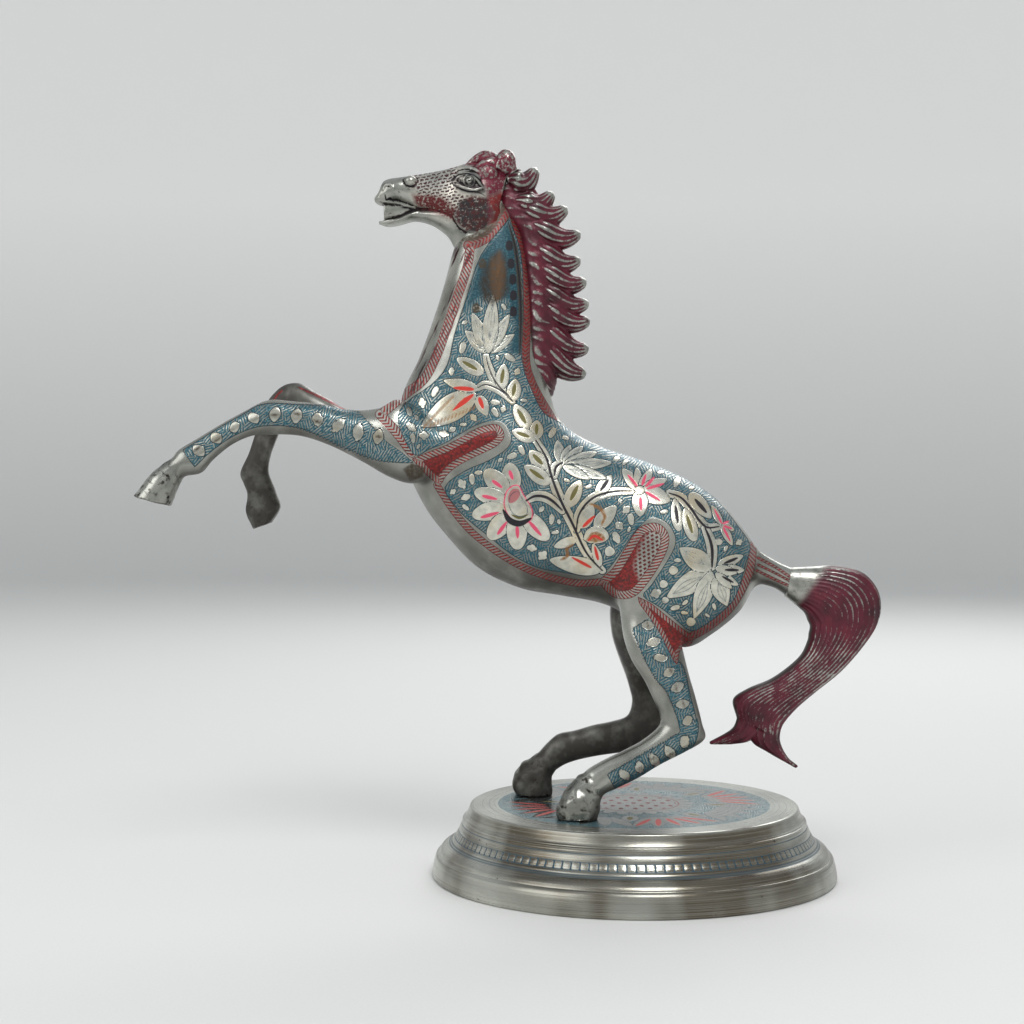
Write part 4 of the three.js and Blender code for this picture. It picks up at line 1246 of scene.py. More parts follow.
def make_mane():
    def strands(along, angle):
        phase = 2 * np.pi * MANE_STRANDS * along - MANE_SWEEP * np.cos(angle) + 1.2 * np.sin(40 * along)
        return MANE_STRAND_RISE * np.cos(phase) * ramp(np.cos(angle), -0.95, -0.3)

    parts = [rib_loft(MANE_RIBS, 80, 24, relief=strands)]
    parts += [lock(tip, root) for tip, root in zip(LOCK_TIPS, LOCK_ROOTS)]
    return sculpted(parts, MANE_CELL, 2)


def mane_fields(mane):
    """How far each place stands out, on the strands and, less so, on the whole locks."""
    return {"crest": mane.crest(10) + LOCK_WEAR * mane.crest(40)}


# Tail: raised lines that run its length, then on into its two tips
TAIL_LINES = 13
TIP_LINES = 4
TAIL_LINE_HALF = 0.5
TAIL_LINE_RISE = 0.28
TAIL_FACE = -7.0
# The bare cap ends along a slanted line through this point [x, z]
CAP_POINT = (68.2, 84.3)
CAP_SLANT = math.radians(37)


def make_tail():
    parts = [rib_loft(TAIL_RIBS, 96, 12, 0.85)]
    for ribs in (TAIL_FRONT_TIP_RIBS, TAIL_BACK_TIP_RIBS):
        parts.append(rib_loft(ribs, 48, 12))
    return sculpted(parts, TAIL_CELL, 3)


def lines_over(drawing, ribs, count, low, high):
    """Lines that share out the width between the two outlines of some ribs."""
    ribs = np.array([rib[:4] for rib in ribs], float)
    for share in np.linspace(low, high, count):
        line = ribs[:, :2] * share + ribs[:, 2:] * (1 - share)
        flat = np.column_stack([line[:, 0], np.full(len(line), TAIL_FACE), line[:, 1]])
        drawing.stroke("strand", photo_points(flat), TAIL_LINE_HALF, 0.3)


def tail_fields(tail):
    """Lines, the bare cap by the dock and the bare edges, and the relief of the lines."""
    x, _, z = tail.vertices.T
    normals = tail.normals()
    drawing = Drawing(photo_points(tail.vertices))
    lines_over(drawing, TAIL_RIBS[1:], TAIL_LINES, 0.06, 0.94)
    lines_over(drawing, TAIL_FRONT_TIP_RIBS, TIP_LINES, 0.2, 0.8)
    lines_over(drawing, TAIL_BACK_TIP_RIBS, TIP_LINES, 0.2, 0.8)
    cap_x, cap_z = CAP_POINT
    past_cap = math.cos(CAP_SLANT) * (x - cap_x) - math.sin(CAP_SLANT) * (z - cap_z)
    cap = ramp(-past_cap, -1.5, 2.5)
    edge = ramp(-np.abs(normals[:, 1]), -0.6, -0.25)
    rise = TAIL_LINE_RISE * ramp(-drawing.field("strand"), -1.2, 0.4) * (1 - cap) * (1 - edge)
    tail.vertices += normals * rise[:, None]
    return {"cap": cap, "edge": edge, "strand": drawing.field("strand")}


# Plinth: a fine turned profile from the middle of the top out and down, then up inside
PLINTH_TURNS = 640
SQUARES = 128
SQUARES_RADIUS = 74.0
TOP_RADIUS = 67.8
OUTER_PROFILE = [
    (67.8, 29.6), (68.5, 29.2), (68.9, 28.2), (69.5, 26.6), (70.3, 25.1), (70.9, 24.6), (71.1, 24.2),
    (71.7, 23.9), (71.75, 23.3), (72.1, 22.2), (72.9, 20.2), (74.2, 17.6), (75.4, 15.8), (76.6, 14.5),
    (78.6, 13.2), (80.2, 12.1), (81.1, 10.9), (81.5, 10.0), (82.2, 9.6), (82.9, 8.6), (83.5, 6.6),
    (84.1, 3.6), (84.3, 1.2), (83.9, 0.3), (83.4, 0),
]
INNER_PROFILE = [
    (77.3, 0), (77.3, 9.5), (73.6, 14.5), (68.8, 24), (64.8, 26.6), (40, 26.6), (0.4, 26.6),
]
SIDE_LINES = [21.9, 18.95, 16.15, 14.6, 14.0]
SIDE_LINE_WIDTH = 0.17
SQUARES_LOW, SQUARES_HIGH = 16.3, 18.8
GROOVE_DEPTH = 0.22
TOP_GROUND = 57.0
TOP_LINES = [58.4, 60.6, 63.4]
MEDALLION = 20.5
MEDALLION_PETALS = 24
DOT_ROWS = 6.4
DOT_COLUMNS = 6.0
DOT_RADIUS = 1.0
PETAL_RING = 26.0
# Root and tip radius of the leaves of the fans, of the white flowers, of the drops and of their veins
FAN_REACH = (33, 54)
FLOWER_REACH = (35, 53)
DROP_REACH = (29, 43)
DROP_VEIN_REACH = (32, 39)
DROP_ASIDE = 0.4
# Where the first fan and the first flower stand, in degrees
FAN_TURN = -73
FLOWER_TURN = -27


def plinth_profile():
    """Points [radius, height] down the profile, and how many of them the top and the outside have."""
    top = np.column_stack([np.linspace(0.4, TOP_RADIUS, 96), np.full(96, OUTER_PROFILE[0][1])])
    outer = spline(OUTER_PROFILE, 6)[1:]
    inner = np.array(INNER_PROFILE, float)
    return np.vstack([top, outer, inner]), len(top), len(outer)


def draw_plinth_top(points):
    """A mandala: a dotted medallion in petals, then fans, white flowers and drop leaves on the ground."""
    drawing = Drawing(points / PIXEL_AT_AXIS)
    unit = 1 / PIXEL_AT_AXIS
    radius = np.linalg.norm(points, axis=1)
    everywhere = np.arange(len(points))
    drawing.stamp("ground", everywhere, (radius - TOP_GROUND) * unit)
    for ring in TOP_LINES:
        drawing.stamp("line", everywhere, (np.abs(radius - ring) - SIDE_LINE_WIDTH) * unit)

    def petal(pigment, root, tip, half, round_end=0.7, over=drawing.OUTLINE):
        drawing.leaf(pigment, root * unit, tip * unit, half * unit, round_end, over)

    def ends(reach, turn, spread=0.0):
        return on_circle(reach[0], turn + spread * 0.3), on_circle(reach[1], turn + spread)

    for k in range(4):
        fan, flower = math.radians(FAN_TURN + 90 * k), math.radians(FLOWER_TURN + 90 * k)
        for spread in (-0.36, 0.36, -0.18, 0.18, 0.0):
            root, tip = ends(FAN_REACH, fan, spread)
            petal("leaf", root, tip, 3.4)
            petal("red", root * 0.8 + tip * 0.2, root * 0.1 + tip * 0.9, 1.2, 0.6, 0)
        for spread in (-0.4, 0.4, -0.2, 0.2, 0.0):
            petal("leaf", *ends(FLOWER_REACH, flower, spread), 3.2)
        for turn in (fan - DROP_ASIDE, fan + DROP_ASIDE):
            petal("leaf", *ends(DROP_REACH, turn), 3.6)
            petal("olive", *ends(DROP_VEIN_REACH, turn), 1.2, over=0)
    for turn in np.linspace(0, 2 * np.pi, MEDALLION_PETALS, endpoint=False):
        petal("leaf", *ends((MEDALLION - 3, PETAL_RING), turn), 2.6, 0.5)
    drawing.stamp("leaf", everywhere, (radius - MEDALLION) * unit, drawing.OUTLINE)
    drawing.stamp("wine", everywhere, (np.abs(radius - MEDALLION + 1.6) - 0.3) * unit)
    row = np.round(points[:, 1] / DOT_ROWS)
    column = np.round(points[:, 0] / DOT_COLUMNS - row / 2)
    aside = points[:, 0] - (column + row / 2) * DOT_COLUMNS
    dots = np.hypot(aside, (points[:, 1] - row * DOT_ROWS) / 2) - DOT_RADIUS
    drawing.stamp("wine", everywhere, np.where(radius < MEDALLION - 3, dots * unit, drawing.FAR))
    return drawing


def turned_rings(radius, height, turn):
    """Rings of points about the upright axis."""
    return np.stack([radius * np.cos(turn), radius * np.sin(turn), height * np.ones_like(turn)], axis=-1)


def make_plinth():
    profile, top_count, outer_count = plinth_profile()
    turn = np.linspace(0, 2 * np.pi, PLINTH_TURNS, endpoint=False)
    step = PLINTH_TURNS // SQUARES
    separator = np.minimum(np.arange(PLINTH_TURNS) % step, step - np.arange(PLINTH_TURNS) % step)
    radius, height = profile.T
    outer = (np.arange(len(profile)) >= top_count) & (np.arange(len(profile)) < top_count + outer_count)
    in_squares = outer & (height > SQUARES_LOW) & (height < SQUARES_HIGH)
    lines = np.min(np.abs(height[:, None] - np.array(SIDE_LINES)), axis=1) - SIDE_LINE_WIDTH
    side_line = np.where(outer, lines, 9.0)[:, None] * np.ones(PLINTH_TURNS)
    upright = (separator - 0.4) * 2 * np.pi * SQUARES_RADIUS / PLINTH_TURNS
    side_line = np.where(in_squares[:, None], np.minimum(side_line, upright[None]), side_line)
    sunk = GROOVE_DEPTH * np.clip(1 - np.maximum(side_line, 0) / 0.6, 0, 1) * outer[:, None]
    reach = radius[:, None] - sunk
    vertices, faces = ring_mesh(turned_rings(reach, height[:, None], turn))
    faces = np.array([face + face[-1:] * (4 - len(face)) for face in faces])
    drawing = draw_plinth_top(vertices[:, :2])
    below = np.ones(len(vertices), bool)
    below[: top_count * PLINTH_TURNS] = False
    for field in drawing.fields.values():
        field[below] = drawing.FAR
    drawing.field("line")[: side_line.size] = np.minimum(
        drawing.field("line")[: side_line.size], side_line.ravel() / PIXEL_AT_AXIS)
    walked = np.concatenate([[0], np.cumsum(np.linalg.norm(np.diff(profile, axis=0), axis=1))])
    lathe = np.concatenate([np.repeat(walked, PLINTH_TURNS), [0, walked[-1]]])
    return Surface(vertices, faces), drawing.all_fields(lathe=lathe)


# Finishes
def srgb(red, green, blue):
    """A colour as it looks on a screen, from 0 to 255, as the light it stands for."""
    shares = np.array([red, green, blue]) / 255
    light = np.where(shares <= 0.04045, shares / 12.92, ((shares + 0.055) / 1.055) ** 2.4)
    return (*light.tolist(), 1.0)


SILVER = srgb(176, 177, 169)
SILVER_GREY = srgb(128, 129, 123)
PLINTH_SILVER = srgb(196, 197, 188)
PLINTH_GREY = srgb(150, 151, 144)
# Dark grey for tarnish, and also for the painted shade of the dull places on the skin
TARNISH_AND_SHADE = srgb(58, 54, 50)
# Brown for tarnish, and on the plinth's sides also for painted reflection
TARNISH_AND_REFLECTION_BROWN = srgb(92, 82, 66)
HOLLOW = srgb(44, 38, 40)
LEAF_WHITE = srgb(220, 218, 205)
LEAF_GREY = srgb(184, 184, 173)
LEAF_CREAM = srgb(214, 198, 164)
TOP_LEAF = srgb(120, 123, 120)
HEAD_SILVER = srgb(222, 216, 204)
GRIME = srgb(50, 34, 30)
TEAL = srgb(28, 96, 114)
TEAL_PALE = srgb(92, 140, 146)
TEAL_DARK = srgb(18, 48, 58)
RED = srgb(168, 44, 38)
RED_DARK = srgb(92, 26, 26)
CHEEK_RED = srgb(72, 26, 24)
MAROON = srgb(104, 28, 46)
MAROON_DARK = srgb(58, 16, 28)
PIGMENTS = {
    # Brown also serves as painted shade beside the mane, under the jaw and in the ovals of the legs
    "brown": srgb(66, 56, 42),
    "umber": srgb(44, 38, 30),
    "ochre": srgb(142, 96, 44),
    "amber": srgb(98, 66, 30),
    "olive": srgb(104, 98, 52),
    "rose": srgb(176, 112, 112),
    "pink": srgb(222, 82, 112),
    "red": srgb(206, 58, 46),
    "black": srgb(30, 27, 34),
    "line": srgb(30, 66, 82),
}
# Pigments that are worn, with the softness of their edges in pixels
WORN_PIGMENTS = {"brown": 0.9, "umber": 3.0, "ochre": 0.9, "amber": 4.0}
# How far the leaves of each finish have worn to grey, and how much darker the unhatched enamel is
LEAF_WEAR = {"engraved_body": 0.0, "leg_plate": 0.4}
SOLID_DEPTH = 0.45
# Distance between the strokes of the hatch and between the ticks of a border, in pixels
HATCH_PITCH = 2.6
TICK_PITCH = 3.9
WINE = srgb(112, 44, 50)
TOP_RED = srgb(172, 66, 62)
STEEL = srgb(150, 150, 148)
STEEL_GREY = srgb(96, 94, 90)
PAPER = srgb(226, 226, 224)
PAPER_PALE = srgb(229, 229, 227)

# Sockets of the Mix node that carry colours
COLOUR_A, COLOUR_B, COLOUR_RESULT = 6, 7, 2


class Finish:
    """A material built node by node. Each method returns the socket that carries its result."""

    def __init__(self, name):
        self.material = bpy.data.materials.new(name)
        self.material.use_nodes = True
        self.tree = self.material.node_tree
        self.shader = self.tree.nodes["Principled BSDF"]
        self.place = self.new("TexCoord").outputs["Object"]
        self.drawing = self.vector("drawing")

    def new(self, kind):
        return self.tree.nodes.new("ShaderNode" + kind)

    def feed(self, socket, value):
        if isinstance(value, bpy.types.NodeSocket):
            self.tree.links.new(value, socket)
        else:
            socket.default_value = value

    def fed(self, node, *values):
        """The outputs of a node whose first inputs take these values."""
        for socket, value in zip(node.inputs, values):
            self.feed(socket, value)
        return node.outputs

    def math(self, operation, *values):
        node = self.new("Math")
        node.operation = operation
        return self.fed(node, *values)[0]

    def chain(self, operation, values):
        result = values[0]
        for value in values[1:]:
            result = self.math(operation, result, value)
        return result

    def product(self, *values):
        return self.chain("MULTIPLY", values)

    def most(self, *values):
        return self.chain("MAXIMUM", values)

    def total(self, *values):
        return self.chain("ADD", values)

    def rest(self, share):
        return self.math("SUBTRACT", 1.0, share)

    def attribute(self, name):
        node = self.new("Attribute")
        node.attribute_name = name
        return node.outputs

    def field(self, name):
        return self.attribute(name)["Fac"]

    def vector(self, name):
        return self.attribute(name)["Vector"]

    def split(self, vector):
        return self.fed(self.new("SeparateXYZ"), vector)

    def joined(self, x, y, z):
        return self.fed(self.new("CombineXYZ"), x, y, z)[0]

    def ramp(self, value, low, high, bottom=0.0, top=1.0):
        """From bottom at low to top at high, and no further."""
        return self.fed(self.new("MapRange"), value, low, high, bottom, top)[0]

    def inside(self, name, edge=0.0, soft=0.35):
        """1 inside the drawn shapes of a pigment and 0 outside."""
        return self.ramp(self.field(name), edge + soft, edge - soft)

    def on_edge(self, name, half, edge=0.0, soft=0.3):
        """1 on the outline of the drawn shapes of a pigment."""
        gap = self.math("ABSOLUTE", self.math("SUBTRACT", self.field(name), edge))
        return self.ramp(gap, half + soft, half - soft)

    def noise(self, scale, detail=3.0, vector=None, roughness=0.55):
        node = self.new("TexNoise")
        self.feed(node.inputs["Vector"], self.place if vector is None else vector)
        node.inputs["Scale"].default_value = scale
        node.inputs["Detail"].default_value = detail
        node.inputs["Roughness"].default_value = roughness
        return node.outputs["Fac"]

    def patchy(self, scale, low, high, bottom=0.0, top=1.0, detail=3.0, vector=None, roughness=0.55):
        """Noise, taken from bottom at low to top at high."""
        return self.ramp(self.noise(scale, detail, vector, roughness), low, high, bottom, top)

    def drawn_patches(self, scale, low, high, bottom=0.0, top=1.0, detail=3.0, roughness=0.55):
        """The same in pixels of the drawing."""
        return self.patchy(scale, low, high, bottom, top, detail, self.drawing, roughness)

    def cells(self, vector, scale):
        """A different number for each cell of an uneven mosaic."""
        node = self.new("TexVoronoi")
        node.voronoi_dimensions = "2D"
        self.feed(node.inputs["Vector"], vector)
        node.inputs["Scale"].default_value = scale
        return self.split(node.outputs["Color"])[0]

    def mix(self, share, below, above):
        node = self.new("Mix")
        node.data_type = "RGBA"
        for socket, value in ((0, share), (COLOUR_A, below), (COLOUR_B, above)):
            self.feed(node.inputs[socket], value)
        return node.outputs[COLOUR_RESULT]

    def layers(self, colour, *coats):
        """A colour under coats, each with its share and its own colour."""
        for share, coat in coats:
            colour = self.mix(share, colour, coat)
        return colour

    def bump(self, height, distance, strength):
        node = self.new("Bump")
        node.inputs["Distance"].default_value = distance
        node.inputs["Strength"].default_value = strength
        self.feed(node.inputs["Height"], height)
        return node.outputs[0]

    def done(self, colour, metallic, roughness, normal):
        values = {"Base Color": colour, "Metallic": metallic, "Roughness": roughness, "Normal": normal}
        for name, value in values.items():
            self.feed(self.shader.inputs[name], value)
        return self.material


def stripes(finish, place, pitch, low, high):
    """Even stripes across a coordinate."""
    wave = finish.math("SINE", finish.math("MULTIPLY", place, 2 * math.pi / pitch))
    return finish.ramp(wave, low, high)


def hatched_ground(finish, silver, solid=0.0):
    """Teal enamel, solid or in short strokes that turn from patch to patch, with silver between."""
    x, y, _ = finish.split(finish.drawing)
    angle = finish.math("MULTIPLY_ADD", finish.cells(finish.drawing, 0.09), 2.0, -0.5)
    across = finish.total(finish.product(x, finish.math("COSINE", angle)),
                          finish.product(y, finish.math("SINE", angle)))
    strokes = stripes(finish, across, HATCH_PITCH, -0.6, 0.15)
    cover = finish.most(strokes, finish.drawn_patches(0.2, 0.49, 0.63, detail=2.0), solid)
    teal = finish.layers(
        finish.mix(finish.noise(0.12, 3.0, finish.drawing), TEAL_DARK, TEAL),
        (finish.drawn_patches(0.5, 0.45, 0.8, detail=2.0), TEAL_PALE),
        (finish.product(solid, SOLID_DEPTH), TEAL_DARK))
    return finish.mix(cover, silver, teal), cover


def grimed_red(finish, share):
    """Dark and bright red, with dirt in places."""
    grime = finish.drawn_patches(0.22, 0.5, 0.62, 0.0, 0.8, 4.0, 0.75)
    return finish.mix(grime, finish.mix(share, RED_DARK, RED), GRIME)


def border_colour(finish, silver):
    """Slanted ticks of red along the borders, on silver or on dark."""
    along, across, tone = finish.split(finish.vector("rope"))
    ticks = stripes(finish, finish.math("MULTIPLY_ADD", across, 0.9, along), TICK_PITCH, -0.45, 0.45)
    red = grimed_red(finish, finish.drawn_patches(0.35, 0.4, 0.65))
    return finish.mix(ticks, finish.mix(tone, silver, RED_DARK), red)


def lobe_colour(finish, silver):
    """Mottled dark red, and a bare place with rows of short dark red marks."""
    mottle = finish.drawn_patches(0.4, 0.42, 0.66, detail=4.0, roughness=0.7)
    x, y, _ = finish.split(finish.drawing)
    row = finish.math("MULTIPLY_ADD", x, 0.13, finish.product(y, 0.24))
    shifted = finish.math("MULTIPLY_ADD", finish.math("FLOOR", row), 0.41, finish.product(y, -0.11))
    place = finish.math("FRACT", finish.math("MULTIPLY_ADD", x, 0.17, shifted))
    mark = finish.product(finish.ramp(place, 0.66, 0.52), finish.ramp(finish.math("FRACT", row), 0.72, 0.5))
    bare = finish.mix(mark, silver, RED_DARK)
    return finish.mix(finish.inside("cuts", 0, 3.0), grimed_red(finish, mottle), bare)


def metal_colour(finish):
    """Silver plate with soft grey clouds, fine dark pits, and dark dull places that are partly unpolished
    metal and partly painted shade.
    """
    dull = finish.product(finish.field("dull"), finish.patchy(160, 0.2, 0.55, 0.55, 1.0))
    plate = finish.layers(
        finish.mix(finish.patchy(55, 0.35, 0.7, detail=4.0), SILVER, SILVER_GREY),
        (finish.patchy(900, 0.70, 0.78, 0.0, 0.35, 2.0), TARNISH_AND_SHADE),
        (finish.patchy(34, 0.5, 0.75, 0.0, 0.35), TARNISH_AND_REFLECTION_BROWN),
        (dull, TARNISH_AND_SHADE))
    return plate, dull


def enamelled_metal(name, leaf_wear):
    """Engraved silver plate with coloured enamel in the ground, the borders and the veins."""
    finish = Finish(name)
    silver, dull = metal_colour(finish)
    x, y, _ = finish.split(finish.drawing)
    run = finish.joined(finish.math("MULTIPLY_ADD", y, 0.45, x), finish.product(y, 0.12), 0.0)
    streaked = finish.product(finish.inside("streaks", 0, 2.0), finish.patchy(0.22, 0.52, 0.62, vector=run))
    pitted = finish.product(finish.field("pitted"), finish.patchy(420, 0.55, 0.68))
    silver = finish.layers(silver, (streaked, MAROON_DARK), (pitted, TARNISH_AND_SHADE))

    in_lobe, on_border, in_ground, in_leaf = map(finish.inside, ("lobe", "border", "ground", "leaf"))
    ground, cover = hatched_ground(finish, silver, finish.inside("solid", 0, 3.0))
    leaf = finish.layers(
        finish.mix(finish.drawn_patches(0.12, 0.35, 0.7), LEAF_WHITE, LEAF_GREY),
        (finish.drawn_patches(0.025, 0.5, 0.68, 0.0, 0.7), LEAF_CREAM),
        (leaf_wear, SILVER_GREY))
    outline = finish.on_edge("leaf", 0.4, 0.35)
    colour = finish.layers(
        silver,
        (in_lobe, lobe_colour(finish, silver)),
        (on_border, border_colour(finish, silver)),
        (finish.on_edge("border", 0.3), RED_DARK),
        (in_ground, ground),
        (finish.on_edge("ground", 0.35), TEAL_DARK),
        (in_leaf, leaf),
        (outline, TEAL_DARK))
    paint = finish.most(in_lobe, on_border, finish.product(in_ground, cover))
    paint = finish.product(paint, finish.rest(in_leaf))
    wear = finish.drawn_patches(0.3, 0.7, 0.42, 0.55, 1.0)
    for pigment, tint in PIGMENTS.items():
        if pigment in WORN_PIGMENTS:
            here = finish.product(finish.inside(pigment, 0, WORN_PIGMENTS[pigment]), wear)
        else:
            here = finish.inside(pigment)
        colour = finish.mix(here, colour, tint)
        paint = finish.most(paint, here)
    metallic = finish.product(finish.ramp(paint, 0, 1, 0.92, 0.25), finish.ramp(dull, 0.3, 1.0, 1.0, 0.5))
    roughness = finish.total(finish.ramp(paint, 0, 1, 0.26, 0.42), finish.product(dull, 0.3))
    height = finish.math("SUBTRACT", finish.product(in_leaf, 0.6), outline)
    height = finish.math("SUBTRACT", height, finish.product(paint, 0.5))
    return finish.done(colour, metallic, roughness, finish.bump(height, 0.00012, 0.6))


def lacquer(name, lines):
    """Maroon lacquer worn to silver along drawn lines or on the ridges, and dull bare metal on the edges."""
    finish = Finish(name)
    speck = finish.noise(620, 4.0, roughness=0.7)
    areas = finish.noise(60, 2.0)
    if lines:
        lifted = finish.total(finish.field("strand"), finish.ramp(speck, 0.3, 0.7, -0.5, 0.5),
                              finish.ramp(areas, 0.35, 0.7, -0.2, 0.9))
        worn = finish.ramp(lifted, 0.24, -0.26)
    else:
        raised = finish.math("SUBTRACT", finish.field("crest"), 0.08)
        lifted = finish.product(raised, finish.ramp(speck, 0.3, 0.7, 0.0, 2.0),
                                finish.ramp(areas, 0.3, 0.7, 0.3, 1.7))
        worn = finish.ramp(lifted, 0.04, 0.13)
    worn = finish.most(worn, finish.product(finish.field("cap"), finish.ramp(speck, 0.3, 0.4)))
    paint = finish.mix(finish.patchy(140, 0.3, 0.7), MAROON_DARK, MAROON)
    plate = finish.layers(
        finish.mix(finish.patchy(300, 0.35, 0.7), SILVER, SILVER_GREY),
        (finish.ramp(speck, 0.62, 0.72), TARNISH_AND_SHADE))
    edge = finish.field("edge")
    colour = finish.layers(paint, (edge, TARNISH_AND_SHADE), (worn, plate))
    metallic = finish.ramp(finish.most(worn, edge), 0, 1, 0.2, 0.9)
    height = finish.total(finish.product(worn, -0.5), finish.noise(900, 2.0))
    return finish.done(colour, metallic, finish.ramp(worn, 0, 1, 0.4, 0.3), finish.bump(height, 0.0001, 0.5))


def punched_dashes(finish, speck):
    """Rows of short dashes, a little uneven."""
    x, y, _ = finish.split(finish.drawing)
    y = finish.math("MULTIPLY_ADD", finish.noise(0.16, 2.0, finish.drawing), 5.0, y)
    x = finish.math("MULTIPLY_ADD", finish.noise(0.3, 2.0, finish.drawing), 4.0, x)
    row = finish.math("MULTIPLY_ADD", x, 0.07, finish.product(y, 0.32))
    shifted = finish.math("MULTIPLY_ADD", finish.math("FLOOR", row), 0.37, finish.product(x, 0.2))
    dash = finish.ramp(finish.math("FRACT", shifted), 0.74, 0.62)
    rows = finish.ramp(finish.math("FRACT", row), 0.62, 0.46)
    return finish.product(dash, rows, finish.inside("dashes", 0, 2.0), finish.ramp(speck, 0.3, 0.42))


def head_plate(name):
    """Silver head with dark red left in the hollows, rows of punched dashes and a dark cheek."""
    finish = Finish(name)
    speck = finish.noise(700, 4.0, roughness=0.7)
    crest = finish.field("crest")
    clouds = finish.patchy(80, 0.35, 0.7)
    dashes = punched_dashes(finish, speck)
    hollows = finish.ramp(finish.total(crest, finish.ramp(speck, 0.3, 0.7, -0.06, 0.06)), -0.015, -0.07)
    stains = finish.product(finish.patchy(330, 0.54, 0.64, 0.0, 0.45, 4.0, roughness=0.75),
                            finish.inside("dashes", 2.0, 4.0))
    blush = finish.product(finish.inside("blush", 0, 2.5), finish.ramp(speck, 0.38, 0.5))
    cheek = finish.product(finish.inside("cheek", 0, 2.0), finish.ramp(speck, 0.68, 0.54))
    jowl = finish.product(finish.inside("jowl", 0, 2.5), finish.ramp(speck, 0.66, 0.54))
    worn = finish.ramp(finish.total(crest, finish.ramp(speck, 0.3, 0.7, -0.14, 0.14)), 0.04, 0.13)
    poll = finish.product(finish.inside("poll", 0, 3.0), finish.rest(worn), finish.rest(jowl))
    socket = finish.product(finish.inside("eye", 0, 1.2), finish.ramp(crest, 0.16, 0.0, 0.1, 0.7))
    colour = finish.layers(
        finish.mix(clouds, SILVER, SILVER_GREY),
        (finish.inside("dashes", 4.0, 6.0), finish.mix(clouds, HEAD_SILVER, SILVER)),
        (hollows, HOLLOW),
        (finish.patchy(380, 0.62, 0.7, 0.0, 0.75, 4.0, roughness=0.7), HOLLOW),
        (stains, MAROON_DARK),
        (dashes, MAROON_DARK),
        (blush, RED_DARK),
        (cheek, finish.mix(finish.patchy(420, 0.42, 0.58), CHEEK_RED, HOLLOW)),
        (jowl, finish.mix(clouds, RED, RED_DARK)),
        (poll, MAROON),
        (socket, HOLLOW),
        (finish.inside("black"), PIGMENTS["black"]))
    paint = finish.most(poll, cheek, blush, dashes, jowl)
    metallic, roughness = finish.ramp(paint, 0, 1, 0.92, 0.3), finish.ramp(paint, 0, 1, 0.28, 0.45)
    height = finish.math("SUBTRACT", finish.product(speck, 0.4), dashes)
    return finish.done(colour, metallic, roughness, finish.bump(height, 0.00012, 0.5))


def turned_plate(name):
    """Turned and brushed silver plate with engraved lines, brown tarnish and upright brown streaks of painted
    reflection on the sides, and an enamelled top.
    """
    finish = Finish(name)
    x, y, z = finish.split(finish.place)
    lathe = finish.joined(finish.field("lathe"), finish.product(finish.noise(12, 1.0), 0.4), 0.0)
    lines = finish.noise(2.6, 4.0, lathe, 0.75)
    turn = finish.joined(x, y, finish.product(z, 0.35))
    # Brown on the sides in upright streaks: partly tarnish in the turned lines, partly painted reflection
    tarnish_and_reflections = finish.product(finish.patchy(16, 0.46, 0.58, vector=turn, roughness=0.6),
                             finish.ramp(lines, 0.3, 0.55, 0.35, 0.9), finish.ramp(z, 0.0294, 0.0285))
    silver = finish.layers(
        finish.mix(finish.patchy(22, 0.35, 0.7), PLINTH_SILVER, PLINTH_GREY),
        (tarnish_and_reflections, TARNISH_AND_REFLECTION_BROWN),
        (finish.ramp(lines, 0.5, 0.75, 0.0, 0.55), TARNISH_AND_SHADE),
        (finish.patchy(420, 0.72, 0.78, detail=2.0), TARNISH_AND_SHADE))
    in_ground, in_leaf = map(finish.inside, ("ground", "leaf"))
    ground, cover = hatched_ground(finish, silver)
    colour = finish.layers(
        silver,
        (in_ground, ground),
        (in_leaf, TOP_LEAF),
        (finish.product(finish.on_edge("leaf", 0.4, 0.35), 0.7), TEAL_DARK))
    paint = finish.product(in_ground, cover, finish.rest(in_leaf))
    tints = {"wine": WINE, "olive": PIGMENTS["olive"], "red": TOP_RED, "line": PIGMENTS["line"]}
    for pigment, tint in tints.items():
        here = finish.inside(pigment)
        colour = finish.mix(here, colour, tint)
        paint = finish.most(paint, here)
    metallic = finish.ramp(paint, 0, 1, 0.95, 0.2)
    roughness = finish.total(finish.ramp(paint, 0, 1, 0.2, 0.45), finish.ramp(lines, 0.3, 0.8, 0.0, 0.15))
    height = finish.math("SUBTRACT", finish.product(lines, 0.5), paint)
    return finish.done(colour, metallic, roughness, finish.bump(height, 0.0001, 0.35))


def steel(name):
    finish = Finish(name)
    clouds = finish.noise(500, 3.0)
    colour = finish.mix(finish.ramp(clouds, 0.35, 0.7), STEEL, STEEL_GREY)
    roughness = finish.ramp(clouds, 0.3, 0.7, 0.3, 0.5)
    return finish.done(colour, 0.95, roughness, finish.bump(clouds, 0.0001, 0.3))


# Assembly
def finish_piece(piece, node, material):
    piece.data.materials.append(material)
    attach(piece, "root")
    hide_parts(node)


def build_casting(name, surface, fields, node, material):
    finish_piece(object_of(name, surface, HORSE_ORIGIN, fields), node, material)


def build_skin():
    skin, off = make_skin()
    castings = part_skin(skin, off)
    fields = skin_fields(skin, castings)
    finishes = {slot: enamelled_metal(slot, leaf_wear) for slot, leaf_wear in LEAF_WEAR.items()}
    for node, keep in castings.items():
        surface, used = skin.part(keep)
        slot = "engraved_body" if "torso" in node else "leg_plate"
        taken = {name: values[used] for name, values in fields.items()}
        build_casting(node + "_skin", surface, taken, node, finishes[slot])


def build_castings():
    head, mane, tail = make_head(), make_mane(), make_tail()
    build_casting("head_casting", head, head_fields(head), "head", head_plate("head_plate"))
    build_casting("mane_casting", mane, mane_fields(mane), "mane",
                  lacquer("mane_lacquer", lines=False))
    build_casting("tail_casting", tail, tail_fields(tail), "tail_plume",
                  lacquer("tail_lacquer", lines=True))


